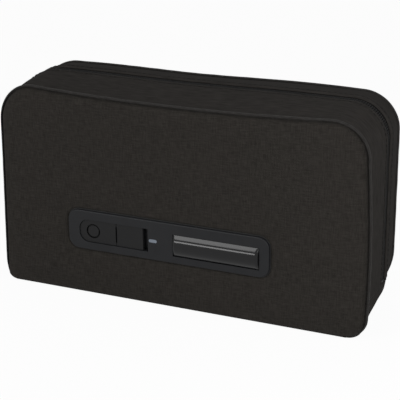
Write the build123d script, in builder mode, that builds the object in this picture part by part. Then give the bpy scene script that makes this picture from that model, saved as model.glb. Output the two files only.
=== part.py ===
"""Ultraviolet sterilizer pouch: a zipped fabric case with a lamp module low in its front.

Millimetres. X is the width, the front faces -Y, Z is up, and the origin is the middle of the base.
"""

from build123d import *
import os

os.makedirs("parts", exist_ok=True)

# Overall form of the pouch
front_seam_y = -29.0
rear_seam_y = 28.0
zip_y = 4.0
front_half_base = 116.0
front_half_top = 114.5
rear_half_width = 115.0
zip_half_width = 116.5
front_height = 128.4
rear_height = 128.4
zip_height = 130.6
front_sag = 2.2
rear_rise = 0.6
zip_rise = 0.4
top_corner = 21.0
zip_corner = 22.0
front_right_corner = 13.0
front_left_corner = 6.0
rear_base_corner = 28.0
front_bow = 8.0
rear_bow = 3.0
bow_levels = 7
bow_overrun = 3.0
flat_bow = 0.02
pick_margin = 0.1

# Soft layers, counted inwards from the outside of the fabric
cloth = 1.1
ply_gap = 0.3
foam = 2.4
board = 0.9
lining = 0.5
lining_depth = 2.4
lining_edge = 1.2
foam_edge = 3.2
panel_crown = 1.8
panel_rim_inset = 0.4
panel_rim_round = 3.0
welt_width = 2.4
welt_proud = 0.8
welt_depth = 1.6
fold_height = 3.0
seam_lap = 0.6
body_gap = 0.3
web_height = 22.0

# Zip
zip_opening = 8.0
zip_band_margin = 0.5
tape = 0.6
tape_gap = 0.1
tape_tuck = 5.0
coil_row = 2.4
coil_thickness = 1.6
coil_gap = 0.3
stop_height = 1.4
slider_length = 10.0
slider_width = 9.0
slider_plate = 1.2
slider_fit = 0.4
slider_neck = 0.8
slider_neck_length = 2.5
slider_lip = 0.6
slider_corner = 1.6
bail_width = 1.6
bail_length = 6.4
bail_height = 2.3
bail_bar = 0.8
pull_bar = 0.6
pull_length = 22.0
pull_width = 6.4
pull_corner = 2.1
pull_thickness = 1.2
pull_eye = 4.2
pull_arm = 1.2

# Control module, seen from the front
module_x = -5.2
module_z = 41.9
bezel_width = 129.0
bezel_height = 25.0
bezel_corner = 7.0
bezel_proud = 1.0
bezel_plate = 1.7
bezel_edge_round = 0.8
cut_gap = 0.8
skirt_width = 124.0
skirt_height = 20.4
skirt_corner = 4.5
skirt_depth = 3.6
gasket_thickness = 0.6
gasket_margin = 0.5
frame_margin = 8.0
frame_thickness = 2.0
module_fit = 0.2
housing_width = 131.0
housing_height = 28.0
housing_corner = 5.0
housing_wall = 1.5
housing_depth = 15.5
flange_thickness = 1.6
flange_inset = 1.0
screw_pitch_x = 69.0
screw_pitch_z = 34.0
screw_radius = 1.0
screw_head_radius = 1.9
screw_head = 1.3
screw_bite = 1.7
screw_fit = 0.1

# Control pad, button, charging port flap and indicator
pad_recess = 0.6
pad_thickness = 1.5
pad_height = 14.4
pad_left = -62.2
pad_fit = 0.2
pad_z = 41.6
pad_end_round = 6.2
button_x = -53.2
button_radius = 3.7
button_ring_gap = 0.8
button_flange_radius = 4.8
button_flange = 0.8
button_bore_fit = 0.2
button_stem_radius = 1.5
button_edge_taper = 0.3
button_travel = 0.8
button_stop_gap = 0.15
hinge_x = -37.8
hinge_line_gap = 0.35
groove_length = 10.0
groove_depth = 0.3
flap_right = -20.2
flap_thickness = 1.3
slot_width = 3.4
slot_depth = 4.0
port_x = -28.7
port_shell_width = 9.0
port_shell_height = 3.3
port_shell_corner = 1.5
port_shell_wall = 0.35
port_length = 5.4
port_hole_margin = 0.7
port_tongue_width = 6.7
port_tongue = 0.7
port_back = 0.8
plug_width = 7.8
plug_height = 2.2
plug_corner = 1.0
plug_length = 1.5
led_x = -13.6
led_length = 5.2
led_height = 2.0
led_fit = 0.1
led_flange = 1.0
led_flange_margin = 1.0
led_package_length = 2.8
led_package_height = 1.4
led_package = 0.8

# Window, lamp and reflector
window_x = 26.2
window_z = 40.9
window_width = 54.0
window_height = 13.8
lens_fit = 0.15
lens_bulge = 2.6
lens_reveal = 1.2
lens_wall = 1.4
lens_flange = 1.3
lens_flange_margin = 1.1
lamp_radius = 3.0
lamp_length = 43.0
lamp_end_taper = 1.0
lamp_back = 7.0
cap_radius = 3.6
cap_length = 5.0
cap_overlap = 3.0
cap_fit = 0.05
holder_width = 3.4
holder_height = 10.0
reflector_sheet = 0.5
reflector_radius = 7.6
reflector_skirt = 3.2
reflector_fit = 0.4
view_slot_height = 4.0
view_slot_margin = 4.0
plate_thickness = 1.2
plate_height = 19.0
lamp_port_height = 13.0
lamp_port_margin = 3.0
guard_thickness = 1.2
guard_height = 20.0
guard_margin = 3.0
guard_slots = 10
guard_slot_width = 2.0

# Electronics inside the housing
board_right = -8.0
board_thickness = 1.6
board_lift = 7.4
board_fit = 0.3
rail_width = 1.5
battery_thickness = 5.2
battery_length = 56.0
battery_height = 20.6
battery_corner = 1.3
switch_size = 6.0
switch_body = 3.4
switch_plunger_radius = 1.6
switch_stroke_height = 0.6
transformer_x = -43.6
transformer_width = 7.0
transformer_height = 13.0
transformer_depth = 3.4
transformer_core = 1.2

# Levels along Y that follow from the sizes above
canvas_face_y = front_seam_y - panel_crown
bezel_face_y = canvas_face_y - bezel_proud
plate_back_y = bezel_face_y + bezel_plate
frame_front_y = plate_back_y + gasket_thickness
frame_back_y = frame_front_y + frame_thickness
skirt_back_y = plate_back_y + skirt_depth
flange_back_y = frame_back_y + flange_thickness
housing_back_y = frame_back_y + housing_depth
housing_floor_y = housing_back_y - housing_wall
pad_face_y = bezel_face_y + pad_recess
pad_back_y = pad_face_y + pad_thickness
pocket_floor_y = pad_back_y
board_back_y = housing_floor_y - board_lift
board_front_y = board_back_y - board_thickness
lamp_y = housing_floor_y - lamp_back

# Places in the front view that follow from the sizes above
frame_width = bezel_width + 2 * frame_margin
frame_height = bezel_height + 2 * frame_margin
flat_top = module_z + frame_height / 2
web_top = web_height - body_gap / 2
zip_bottom = web_height + body_gap / 2
fold_top = fold_height + body_gap
housing_left = module_x - housing_width / 2 + housing_wall
zip_front_edge = zip_y - zip_opening / 2
zip_rear_edge = zip_y + zip_opening / 2
zip_band_half = slider_width / 2 + zip_band_margin
far = 200.0


def front_plane(y):
    """A sketch plane seen from the front, at depth y; extruding goes towards the viewer."""
    return Plane.XZ.offset(-y)


def outline(y, inset, half_base, half_top, height, rise, corner, left_corner, right_corner):
    """One closed section of the pouch, square to Y, with its own corners and a curved top edge."""
    with BuildSketch(front_plane(y)) as section:
        with BuildLine():
            base = Line((-half_base + inset, inset), (half_base - inset, inset))
            side = Line(base @ 1, (half_top - inset, height - inset))
            top = ThreePointArc(side @ 1, (0, height + rise - inset), (-half_top + inset, height - inset))
            Line(top @ 1, base @ 0)
        make_face()
        fillet(section.vertices().group_by(Axis.Y)[-1], corner - inset)
        for end, radius in ((0, left_corner), (-1, right_corner)):
            base_ends = section.vertices().group_by(Axis.Y)[0].sort_by(Axis.X)
            fillet(base_ends[end], radius - inset)
    return section.sketch


def front_outline(y, inset):
    """The section at the front seam, whose top edge sags a little."""
    return outline(y, inset, front_half_base, front_half_top, front_height, -front_sag,
                   top_corner, front_left_corner, front_right_corner)


def rear_outline(y, inset):
    """The section at the rear seam, with its rounder base corners."""
    return outline(y, inset, rear_half_width, rear_half_width, rear_height, rear_rise,
                   top_corner, rear_base_corner, rear_base_corner)


def zip_outline(y, inset):
    """The section under the zip, the widest one, which keeps its size over the zip's flat band."""
    return outline(y, inset, zip_half_width, zip_half_width, zip_height, zip_rise,
                   zip_corner, zip_corner, zip_corner)


def pouch_volume(inset):
    """The whole case as a solid that lies inset below the outside of the gusset cloth."""
    with BuildPart() as volume:
        loft([front_outline(front_seam_y - front_bow - panel_crown, inset),
              front_outline(front_seam_y, inset),
              zip_outline(zip_y - zip_band_half, inset),
              zip_outline(zip_y + zip_band_half, inset),
              rear_outline(rear_seam_y, inset),
              rear_outline(rear_seam_y + rear_bow + panel_crown, inset)], ruled=True)
    return volume.part


def space_beyond(side, depth):
    """Everything outside the bowed front (side -1) or rear (side 1) seam face, moved in by depth.

    The face is flat below flat_top, and above it bows outwards, most at the top of its middle.
    """
    seam_y, bow = (front_seam_y, front_bow) if side < 0 else (rear_seam_y, rear_bow)
    top_level = front_height + bow_overrun
    reach = zip_half_width + bow_overrun
    with BuildPart() as space:
        for step in range(bow_levels):
            level = top_level * (step / (bow_levels - 2) - 1 / (bow_levels - 2))
            rise = max(0, (level - flat_top) / (front_height - flat_top))
            bulge = bow * rise ** 2 + flat_bow
            face_y = seam_y - side * depth
            with BuildSketch(Plane.XY.offset(level)):
                with BuildLine():
                    face = ThreePointArc((-reach, face_y), (0, face_y + side * bulge), (reach, face_y))
                    Polyline(face @ 1, (reach, side * far), (-reach, side * far), face @ 0)
                make_face()
        loft()
    return space.part


def block(y0, y1, z0, z1, x0=-far, x1=far):
    """A plain box between the given levels, used to keep one region of a larger form."""
    with BuildPart() as region:
        with BuildSketch(Plane.YZ.offset(x0)):
            with Locations((y0, z0)):
                Rectangle(y1 - y0, z1 - z0, align=(Align.MIN, Align.MIN))
        extrude(amount=x1 - x0)
    return region.part


def keep(part, region):
    """The part of a form that lies inside a region."""
    with BuildPart() as kept:
        add(part)
        add(region, mode=Mode.INTERSECT)
    return kept.part


def skin(inset, thickness):
    """The case's wall between two depths, open at both ends."""
    with BuildPart() as wall:
        add(pouch_volume(inset))
        add(pouch_volume(inset + thickness), mode=Mode.SUBTRACT)
    return wall.part


def pillow(side, depth):
    """The padded front or rear panel as a solid whose rounded face lies depth below its canvas."""
    seam_y = front_seam_y if side < 0 else rear_seam_y
    section = front_outline if side < 0 else rear_outline
    back_y = seam_y - side * foam
    with BuildPart() as body:
        extrude(section(back_y, panel_rim_inset + depth), amount=far / 4, dir=(0, side, 0))
        add(space_beyond(side, depth - panel_crown), mode=Mode.SUBTRACT)
        rim_level = panel_crown - depth - pick_margin
        rim = [edge for edge in body.edges() if (edge.center().Y - seam_y) * side > rim_level]
        fillet(rim, panel_rim_round - depth)
    return body.part


def panel_skin(side):
    """The canvas of one padded panel, from its seam outwards, all round its outline."""
    with BuildPart() as canvas:
        add(pillow(side, 0))
        add(pillow(side, cloth), mode=Mode.SUBTRACT)
        add(space_beyond(side, 0), mode=Mode.INTERSECT)
    return canvas.part


def ply(side, depth, thickness, edge):
    """One flat layer behind a panel, which follows its bow: depth is counted from the canvas face."""
    seam_y = front_seam_y if side < 0 else rear_seam_y
    section = front_outline if side < 0 else rear_outline
    with BuildPart() as layer:
        extrude(section(seam_y - side * far / 4, edge), amount=far / 2, dir=(0, side, 0))
        add(space_beyond(side, depth - panel_crown), mode=Mode.SUBTRACT)
        add(space_beyond(side, depth + thickness - panel_crown), mode=Mode.INTERSECT)
    return layer.part


def module_block(width, height, corner, back_y, thickness, x=module_x, z=module_z):
    """A rounded plate of the module, square to Y, whose rear face is at back_y."""
    with BuildPart() as plate:
        with BuildSketch(front_plane(back_y)):
            with Locations((x, z)):
                RectangleRounded(width, height, corner)
        extrude(amount=thickness)
    return plate.part


def finish(part, name):
    """Name the finished piece and write its file."""
    part.label = name
    export_step(part, "parts/" + name + ".step")


# Canvas panels, base and their padding
front_canvas = panel_skin(-1)
rear_canvas = panel_skin(1)
gusset_skin = skin(0, cloth)
lining_skin = skin(lining_depth, lining)
lining_face = cloth + ply_gap + foam + ply_gap

with BuildPart() as front_panel:
    add(front_canvas)
    add(block(-far, far, fold_top, far), mode=Mode.INTERSECT)
    add(module_block(bezel_width + 2 * cut_gap, bezel_height + 2 * cut_gap, bezel_corner + cut_gap,
                     front_seam_y, far), mode=Mode.SUBTRACT)
finish(front_panel.part, "front_panel")

with BuildPart() as rear_panel:
    add(rear_canvas)
    add(block(-far, far, fold_height, far), mode=Mode.INTERSECT)
finish(rear_panel.part, "rear_panel")

with BuildPart() as base_panel:
    add(keep(gusset_skin, block(front_seam_y - seam_lap, rear_seam_y + seam_lap, -far, fold_height)))
    for canvas in (front_canvas, rear_canvas):
        add(keep(canvas, block(-far, far, -far, fold_height)))
finish(base_panel.part, "base_panel")

board_width = 2 * (rear_half_width - rear_base_corner)
with BuildPart() as base_board:
    with BuildSketch(Plane.XY.offset(cloth + module_fit)):
        with Locations((0, (front_seam_y + rear_seam_y) / 2)):
            RectangleRounded(board_width, rear_seam_y - front_seam_y - 2 * foam, foam)
    extrude(amount=board)
finish(base_board.part, "base_board")

with BuildPart() as front_foam:
    add(ply(-1, cloth + ply_gap, foam, foam_edge))
    add(block(-far, far, fold_top + ply_gap, far), mode=Mode.INTERSECT)
    add(module_block(frame_width + 2 * cut_gap, frame_height + 2 * cut_gap, bezel_corner,
                     0, far), mode=Mode.SUBTRACT)
finish(front_foam.part, "front_foam")

with BuildPart() as rear_foam:
    add(ply(1, cloth + ply_gap, foam, foam_edge))
finish(rear_foam.part, "rear_foam")

with BuildPart() as front_lining:
    add(lining_skin)
    add(block(-far, zip_front_edge - lining_edge, zip_bottom, far), mode=Mode.INTERSECT)
    add(space_beyond(-1, lining_face - panel_crown), mode=Mode.SUBTRACT)
    add(ply(-1, lining_face, lining, lining_depth))
    add(block(-far, far, fold_top + ply_gap, far), mode=Mode.INTERSECT)
    add(module_block(frame_width + 2 * cut_gap, frame_height + 2 * cut_gap, bezel_corner,
                     0, far), mode=Mode.SUBTRACT)
finish(front_lining.part, "front_lining")

with BuildPart() as rear_lining:
    add(lining_skin)
    with BuildSketch(Plane.YZ) as lined:
        with BuildLine():
            low_y = front_seam_y + lining_face
            high_y = zip_rear_edge + lining_edge
            Polyline((low_y, -far), (far, -far), (far, far), (high_y, far), (high_y, web_top),
                     (low_y, web_top), (low_y, -far))
        make_face()
    extrude(amount=far, both=True, mode=Mode.INTERSECT)
    add(space_beyond(1, lining_face - panel_crown), mode=Mode.SUBTRACT)
    add(ply(1, lining_face, lining, lining_depth))
finish(rear_lining.part, "rear_lining")

# Gusset strips, the webs below the zip's ends, and the welted seams
with BuildPart() as front_gusset:
    add(gusset_skin)
    add(block(-far, zip_front_edge, zip_bottom, far), mode=Mode.INTERSECT)
    add(space_beyond(-1, welt_width), mode=Mode.SUBTRACT)
finish(front_gusset.part, "front_gusset")

with BuildPart() as rear_gusset:
    add(gusset_skin)
    add(block(zip_rear_edge, far, zip_bottom, far), mode=Mode.INTERSECT)
    add(space_beyond(1, welt_width), mode=Mode.SUBTRACT)
finish(rear_gusset.part, "rear_gusset")

web_front_y = front_seam_y + welt_width + body_gap
for web_name, x0, x1 in (("left_web", -far, 0), ("right_web", 0, far)):
    with BuildPart() as web:
        add(gusset_skin)
        add(block(web_front_y, rear_seam_y - welt_width, fold_height, web_top, x0, x1), mode=Mode.INTERSECT)
    finish(web.part, web_name)

welt_skin = skin(-welt_proud, welt_proud + welt_depth)
for welt_name, side, low in (("front_piping", -1, fold_top), ("rear_piping", 1, fold_height)):
    with BuildPart() as welt:
        add(welt_skin)
        add(space_beyond(side, welt_width), mode=Mode.INTERSECT)
        add(space_beyond(side, 0), mode=Mode.SUBTRACT)
        add(block(-far, far, low, far), mode=Mode.INTERSECT)
    finish(welt.part, welt_name)

# Zip tapes and rows, on both sides of the slider's path
row_near = coil_gap / 2
row_far = coil_gap / 2 + coil_row
tape_far = zip_opening / 2 + tape_tuck
tape_depth = cloth + tape_gap
coil_inset = tape_depth + tape / 2 - coil_thickness / 2
row_low = zip_bottom + stop_height + body_gap + slider_neck_length
tape_skin = skin(tape_depth, tape)
row_skin = skin(coil_inset, coil_thickness)
for half, side in (("front", -1), ("rear", 1)):
    tape_ends = sorted((zip_y + side * row_far, zip_y + side * tape_far))
    row_ends = sorted((zip_y + side * row_near, zip_y + side * row_far))
    with BuildPart() as zip_tape:
        add(tape_skin)
        add(block(tape_ends[0], tape_ends[1], zip_bottom, far), mode=Mode.INTERSECT)
    finish(zip_tape.part, half + "_zip_tape")
    with BuildPart() as zip_row:
        add(row_skin)
        add(block(row_ends[0], row_ends[1], row_low, far), mode=Mode.INTERSECT)
    finish(zip_row.part, half + "_zip_coil")

with BuildPart() as zip_stops:
    add(row_skin)
    add(block(zip_y - row_far, zip_y + row_far, web_top, zip_bottom + stop_height - module_fit),
        mode=Mode.INTERSECT)
finish(zip_stops.part, "zip_stops")

# Zip slider, low on the left side where the zip is closed, and its pull tab
slider_low = row_low - slider_neck_length
slider_outer_x = -zip_half_width - slider_fit
row_inner_x = -zip_half_width + coil_inset + coil_thickness
slider_inner_x = row_inner_x + slider_fit
channel_half = row_far + slider_fit
tape_slot_outer_x = -zip_half_width + tape_depth - slider_fit
tape_slot_inner_x = -zip_half_width + tape_depth + tape + slider_fit

with BuildPart() as zip_slider:
    with BuildSketch(Plane.XY.offset(slider_low)):
        with Locations((slider_outer_x - slider_plate, zip_y)):
            Rectangle(slider_plate, slider_width, align=(Align.MIN, Align.CENTER))
        with Locations((slider_inner_x, zip_y)):
            Rectangle(slider_plate, slider_width, align=(Align.MIN, Align.CENTER))
        for lip_y in (zip_y - channel_half, zip_y + channel_half + slider_lip):
            with Locations((slider_outer_x, lip_y)):
                Rectangle(tape_slot_outer_x - slider_outer_x, slider_lip, align=(Align.MIN, Align.MAX))
            with Locations((tape_slot_inner_x, lip_y)):
                Rectangle(slider_inner_x - tape_slot_inner_x, slider_lip, align=(Align.MIN, Align.MAX))
    extrude(amount=slider_length)
    with BuildSketch(Plane.XY.offset(slider_low)):
        with Locations((slider_outer_x, zip_y)):
            Rectangle(slider_inner_x - slider_outer_x, slider_neck, align=(Align.MIN, Align.CENTER))
    extrude(amount=slider_neck_length - body_gap)
    corner_reach = slider_width / 2 - pick_margin
    cross_edges = zip_slider.edges().filter_by(Axis.X)
    fillet([edge for edge in cross_edges if abs(edge.center().Y - zip_y) > corner_reach], slider_corner)
    bail_z = slider_low + slider_length / 2
    with BuildSketch(Plane.XZ.offset(-zip_y)):
        with Locations((slider_outer_x - slider_plate, bail_z)):
            Rectangle(bail_height, bail_length, align=(Align.MAX, Align.CENTER))
            Rectangle(bail_height - bail_bar, bail_length - 2 * bail_bar, align=(Align.MAX, Align.CENTER),
                      mode=Mode.SUBTRACT)
    extrude(amount=bail_width / 2, both=True)
finish(zip_slider.part, "zip_slider")

pull_x = slider_outer_x - slider_plate - (bail_height - bail_bar) / 2
with BuildPart() as zip_pull:
    with BuildSketch(Plane.YZ.offset(pull_x - pull_thickness / 2)) as tab:
        with Locations((zip_y, bail_z)):
            Rectangle(pull_width, pull_length, align=(Align.CENTER, Align.MAX))
        fillet(tab.vertices().group_by(Axis.Y)[0], pull_corner)
        with Locations((zip_y, bail_z)):
            Rectangle(pull_width - 2 * pull_arm, pull_eye, align=(Align.CENTER, Align.MAX),
                      mode=Mode.SUBTRACT)
    extrude(amount=pull_thickness)
    with BuildSketch(Plane.XZ.offset(-zip_y + pull_width / 2)):
        with Locations((pull_x, bail_z)):
            Circle(pull_bar)
    extrude(amount=-pull_width)
finish(zip_pull.part, "zip_pull")

# Backing frame, gasket and housing of the module
flange_width = frame_width - 2 * flange_inset
flange_height = frame_height - 2 * flange_inset
screw_places = [(module_x + column * screw_pitch_x, module_z + row * screw_pitch_z / 2)
                for column in (-1, 0, 1) for row in (-1, 1)]

with BuildPart() as backing_frame:
    add(module_block(frame_width, frame_height, bezel_corner, frame_back_y, frame_thickness))
    add(module_block(skirt_width + 2 * module_fit, skirt_height + 2 * module_fit, skirt_corner + module_fit,
                     0, far), mode=Mode.SUBTRACT)
    with BuildSketch(front_plane(frame_back_y)):
        with Locations(*screw_places):
            Circle(screw_radius + screw_fit)
    extrude(amount=screw_bite, mode=Mode.SUBTRACT)
finish(backing_frame.part, "backing_frame")

with BuildPart() as gasket:
    add(module_block(bezel_width + 2 * gasket_margin, bezel_height + 2 * gasket_margin,
                     bezel_corner + gasket_margin, frame_front_y, gasket_thickness))
    add(module_block(skirt_width + 2 * module_fit, skirt_height + 2 * module_fit, skirt_corner + module_fit,
                     0, far), mode=Mode.SUBTRACT)
finish(gasket.part, "gasket")

# Bezel: a moulded front with a recess for the pad and flap, a finger slot and a window
pad_bottom = pad_z - pad_height / 2
led_z = pad_z
port_z = pad_z
button_z = pad_z
flange_room = window_width + 2 * lens_flange_margin
flange_tall = window_height + 2 * lens_flange_margin
lens_seat_y = skirt_back_y - lens_flange
lens_edge_y = bezel_face_y + lens_reveal

with BuildPart() as bezel:
    add(module_block(bezel_width, bezel_height, bezel_corner, plate_back_y, bezel_plate))
    fillet(bezel.faces().sort_by(Axis.Y)[0].edges(), bezel_edge_round)
    add(module_block(skirt_width, skirt_height, skirt_corner, skirt_back_y, skirt_depth))
    with BuildSketch(front_plane(pocket_floor_y)) as pocket:
        with Locations((pad_left, pad_bottom)):
            Rectangle(flap_right - pad_left, pad_height, align=(Align.MIN, Align.MIN))
        fillet(pocket.vertices().group_by(Axis.X)[0], pad_end_round)
    extrude(amount=far, mode=Mode.SUBTRACT)
    with BuildSketch(front_plane(bezel_face_y + slot_depth)):
        with Locations((flap_right, pad_bottom)):
            Rectangle(slot_width, pad_height, align=(Align.MIN, Align.MIN))
    extrude(amount=far, mode=Mode.SUBTRACT)
    with BuildSketch(front_plane(skirt_back_y)):
        with Locations((button_x, button_z)):
            Circle(button_flange_radius + button_bore_fit)
        with Locations((port_x, port_z)):
            Rectangle(port_shell_width + 2 * port_hole_margin, port_shell_height + 2 * port_hole_margin)
        with Locations((led_x, led_z)):
            SlotOverall(led_length + 2 * led_fit, led_height + 2 * led_fit)
        with Locations((window_x, window_z)):
            Rectangle(window_width, window_height)
    extrude(amount=far, mode=Mode.SUBTRACT)
    with BuildSketch(front_plane(skirt_back_y)):
        with Locations((window_x, window_z)):
            Rectangle(flange_room, flange_tall)
    extrude(amount=lens_flange, mode=Mode.SUBTRACT)
finish(bezel.part, "bezel")

# Soft control pad with the ring round the button, and the hinged flap over the charging port
with BuildPart() as control_pad:
    with BuildSketch(front_plane(pad_back_y)) as pad_outline:
        with Locations((pad_left + pad_fit, pad_z)):
            Rectangle(hinge_x - hinge_line_gap / 2 - pad_left - pad_fit, pad_height - 2 * pad_fit,
                      align=(Align.MIN, Align.CENTER))
        fillet(pad_outline.vertices().group_by(Axis.X)[0], pad_end_round - pad_fit)
        with Locations((button_x, button_z)):
            Circle(button_radius + button_ring_gap, mode=Mode.SUBTRACT)
        with Locations((hinge_x, pad_z)):
            Rectangle(hinge_line_gap + 2 * groove_depth, groove_length, mode=Mode.SUBTRACT)
    extrude(amount=pad_thickness)
finish(control_pad.part, "control_pad")

with BuildPart() as port_flap:
    with BuildSketch(front_plane(pad_face_y + flap_thickness)):
        with Locations((hinge_x + hinge_line_gap / 2, pad_z)):
            Rectangle(flap_right - hinge_x - hinge_line_gap / 2 - pad_fit, pad_height - 2 * pad_fit,
                      align=(Align.MIN, Align.CENTER))
        with Locations((hinge_x, pad_z)):
            Rectangle(hinge_line_gap + 2 * groove_depth, groove_length, mode=Mode.SUBTRACT)
    extrude(amount=flap_thickness)
    with BuildSketch(front_plane(pad_face_y + flap_thickness + plug_length)):
        with Locations((port_x, port_z)):
            RectangleRounded(plug_width, plug_height, plug_corner)
    extrude(amount=plug_length)
finish(port_flap.part, "port_flap")

stem_back_y = board_front_y - switch_body - switch_stroke_height - button_travel - button_stop_gap
button_flange_front_y = pad_back_y + body_gap
with BuildPart() as power_button:
    with BuildSketch(front_plane(button_flange_front_y)):
        with Locations((button_x, button_z)):
            Circle(button_radius)
    extrude(amount=button_flange_front_y - pad_face_y)
    chamfer(power_button.faces().sort_by(Axis.Y)[0].edges(), button_edge_taper)
    with BuildSketch(front_plane(button_flange_front_y + button_flange)):
        with Locations((button_x, button_z)):
            Circle(button_flange_radius)
    extrude(amount=button_flange)
    with BuildSketch(front_plane(stem_back_y)):
        with Locations((button_x, button_z)):
            Circle(button_stem_radius)
    extrude(amount=stem_back_y - button_flange_front_y)
finish(power_button.part, "power_button")

# Clear parts of the front: the light pipe of the indicator and the bulged window
with BuildPart() as light_pipe:
    with BuildSketch(front_plane(board_front_y - led_package)):
        with Locations((led_x, led_z)):
            SlotOverall(led_length, led_height)
    extrude(amount=board_front_y - led_package - bezel_face_y)
    with BuildSketch(front_plane(skirt_back_y + led_flange)):
        with Locations((led_x, led_z)):
            SlotOverall(led_length + 2 * led_flange_margin, led_height + 2 * led_flange_margin)
    extrude(amount=led_flange)
finish(light_pipe.part, "light_pipe")

lens_half = window_height / 2 - lens_fit
with BuildPart() as window_lens:
    with BuildSketch(front_plane(skirt_back_y)):
        with Locations((window_x, window_z)):
            Rectangle(flange_room - 2 * lens_fit, flange_tall - 2 * lens_fit)
    extrude(amount=lens_flange)
    for inset, back_y, mode in ((0, lens_seat_y, Mode.ADD), (lens_wall, skirt_back_y, Mode.SUBTRACT)):
        half = lens_half - inset
        with BuildSketch(Plane.YZ.offset(window_x - window_width / 2 + lens_fit + inset)):
            with BuildLine():
                face = ThreePointArc((lens_edge_y + inset, window_z - half),
                                     (lens_edge_y - lens_bulge + inset, window_z),
                                     (lens_edge_y + inset, window_z + half))
                Polyline(face @ 1, (back_y, window_z + half), (back_y, window_z - half), face @ 0)
            make_face()
        extrude(amount=window_width - 2 * (lens_fit + inset), mode=mode)
finish(window_lens.part, "window_lens")

# Housing behind the frame: a flanged tray with rails for the circuit board and a port for the lamp's light
lamp_port_width = lamp_length - 2 * lamp_port_margin
rail_length = board_right - housing_left
rail_reach = (housing_height - 2 * housing_wall - rail_width) / 2
tray_middle_x = (housing_left + board_right) / 2
with BuildPart() as module_housing:
    add(module_block(flange_width, flange_height, bezel_corner - flange_inset,
                     flange_back_y, flange_thickness))
    add(module_block(housing_width, housing_height, housing_corner, housing_back_y, housing_depth))
    add(module_block(housing_width - 2 * housing_wall, housing_height - 2 * housing_wall,
                     housing_corner - housing_wall, housing_floor_y, far), mode=Mode.SUBTRACT)
    with BuildSketch(front_plane(flange_back_y)):
        with Locations(*screw_places):
            Circle(screw_radius + screw_fit)
    extrude(amount=far, mode=Mode.SUBTRACT)
    with BuildSketch(front_plane(housing_back_y)):
        with Locations((window_x, module_z)):
            Rectangle(lamp_port_width, lamp_port_height)
    extrude(amount=housing_wall, mode=Mode.SUBTRACT)
    with BuildSketch(front_plane(housing_floor_y)):
        for row in (-1, 1):
            with Locations((tray_middle_x, module_z + row * rail_reach)):
                Rectangle(rail_length, rail_width)
    extrude(amount=board_lift)
finish(module_housing.part, "module_housing")

with BuildPart() as housing_screws:
    with BuildSketch(front_plane(flange_back_y + screw_head)):
        with Locations(*screw_places):
            Circle(screw_head_radius)
    extrude(amount=screw_head)
    with BuildSketch(front_plane(flange_back_y)):
        with Locations(*screw_places):
            Circle(screw_radius)
    extrude(amount=flange_thickness + screw_bite - screw_fit)
finish(housing_screws.part, "housing_screws")

# Circuit board and what is soldered to it
board_left = housing_left + board_fit
board_height = housing_height - 2 * housing_wall - 2 * board_fit
with BuildPart() as circuit_board:
    with BuildSketch(front_plane(board_back_y)) as board_outline:
        with Locations((board_left, module_z)):
            Rectangle(board_right - board_left, board_height, align=(Align.MIN, Align.CENTER))
        fillet(board_outline.vertices().group_by(Axis.X)[0], housing_corner - housing_wall)
    extrude(amount=board_thickness)
finish(circuit_board.part, "circuit_board")

with BuildPart() as tact_switch:
    with BuildSketch(front_plane(board_front_y)):
        with Locations((button_x, button_z)):
            Rectangle(switch_size, switch_size)
    extrude(amount=switch_body)
    with BuildSketch(front_plane(board_front_y - switch_body)):
        with Locations((button_x, button_z)):
            Circle(switch_plunger_radius)
    extrude(amount=switch_stroke_height)
finish(tact_switch.part, "tact_switch")

with BuildPart() as usb_receptacle:
    with BuildSketch(front_plane(board_front_y)):
        with Locations((port_x, port_z)):
            RectangleRounded(port_shell_width, port_shell_height, port_shell_corner)
    extrude(amount=port_length)
    with BuildSketch(front_plane(board_front_y - port_back)):
        with Locations((port_x, port_z)):
            RectangleRounded(port_shell_width - 2 * port_shell_wall,
                             port_shell_height - 2 * port_shell_wall,
                             port_shell_corner - port_shell_wall)
            Rectangle(port_tongue_width, port_tongue, mode=Mode.SUBTRACT)
    extrude(amount=port_length, mode=Mode.SUBTRACT)
finish(usb_receptacle.part, "usb_receptacle")

with BuildPart() as status_led:
    with BuildSketch(front_plane(board_front_y)):
        with Locations((led_x, led_z)):
            Rectangle(led_package_length, led_package_height)
    extrude(amount=led_package)
finish(status_led.part, "status_led")

with BuildPart() as lamp_transformer:
    with BuildSketch(front_plane(board_front_y)):
        with Locations((transformer_x, module_z)):
            Rectangle(transformer_width, transformer_height)
            Rectangle(transformer_width - 2 * transformer_core, transformer_core)
    extrude(amount=transformer_depth)
finish(lamp_transformer.part, "lamp_transformer")

with BuildPart() as battery_cell:
    with BuildSketch(front_plane(housing_floor_y)):
        with Locations((tray_middle_x, module_z)):
            RectangleRounded(battery_length, battery_height, battery_corner)
    extrude(amount=battery_thickness)
finish(battery_cell.part, "battery_cell")

# Lamp, its caps and holders, the reflector trough, the clear plate and the guard on the chamber side
with BuildPart() as uv_lamp:
    with BuildSketch(Plane.YZ.offset(window_x - lamp_length / 2)):
        with Locations((lamp_y, module_z)):
            Circle(lamp_radius)
    extrude(amount=lamp_length)
    chamfer(uv_lamp.edges(), lamp_end_taper)
finish(uv_lamp.part, "uv_lamp")

cap_inner = lamp_length / 2 - cap_overlap
with BuildPart() as lamp_caps:
    for end in (-1, 1):
        with BuildSketch(Plane.YZ.offset(window_x + end * cap_inner)):
            with Locations((lamp_y, module_z)):
                Circle(cap_radius)
        extrude(amount=end * cap_length)
        with BuildSketch(Plane.YZ.offset(window_x + end * cap_inner)):
            with Locations((lamp_y, module_z)):
                Circle(lamp_radius + cap_fit)
        extrude(amount=end * (cap_overlap + cap_fit), mode=Mode.SUBTRACT)
finish(lamp_caps.part, "lamp_caps")

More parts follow.
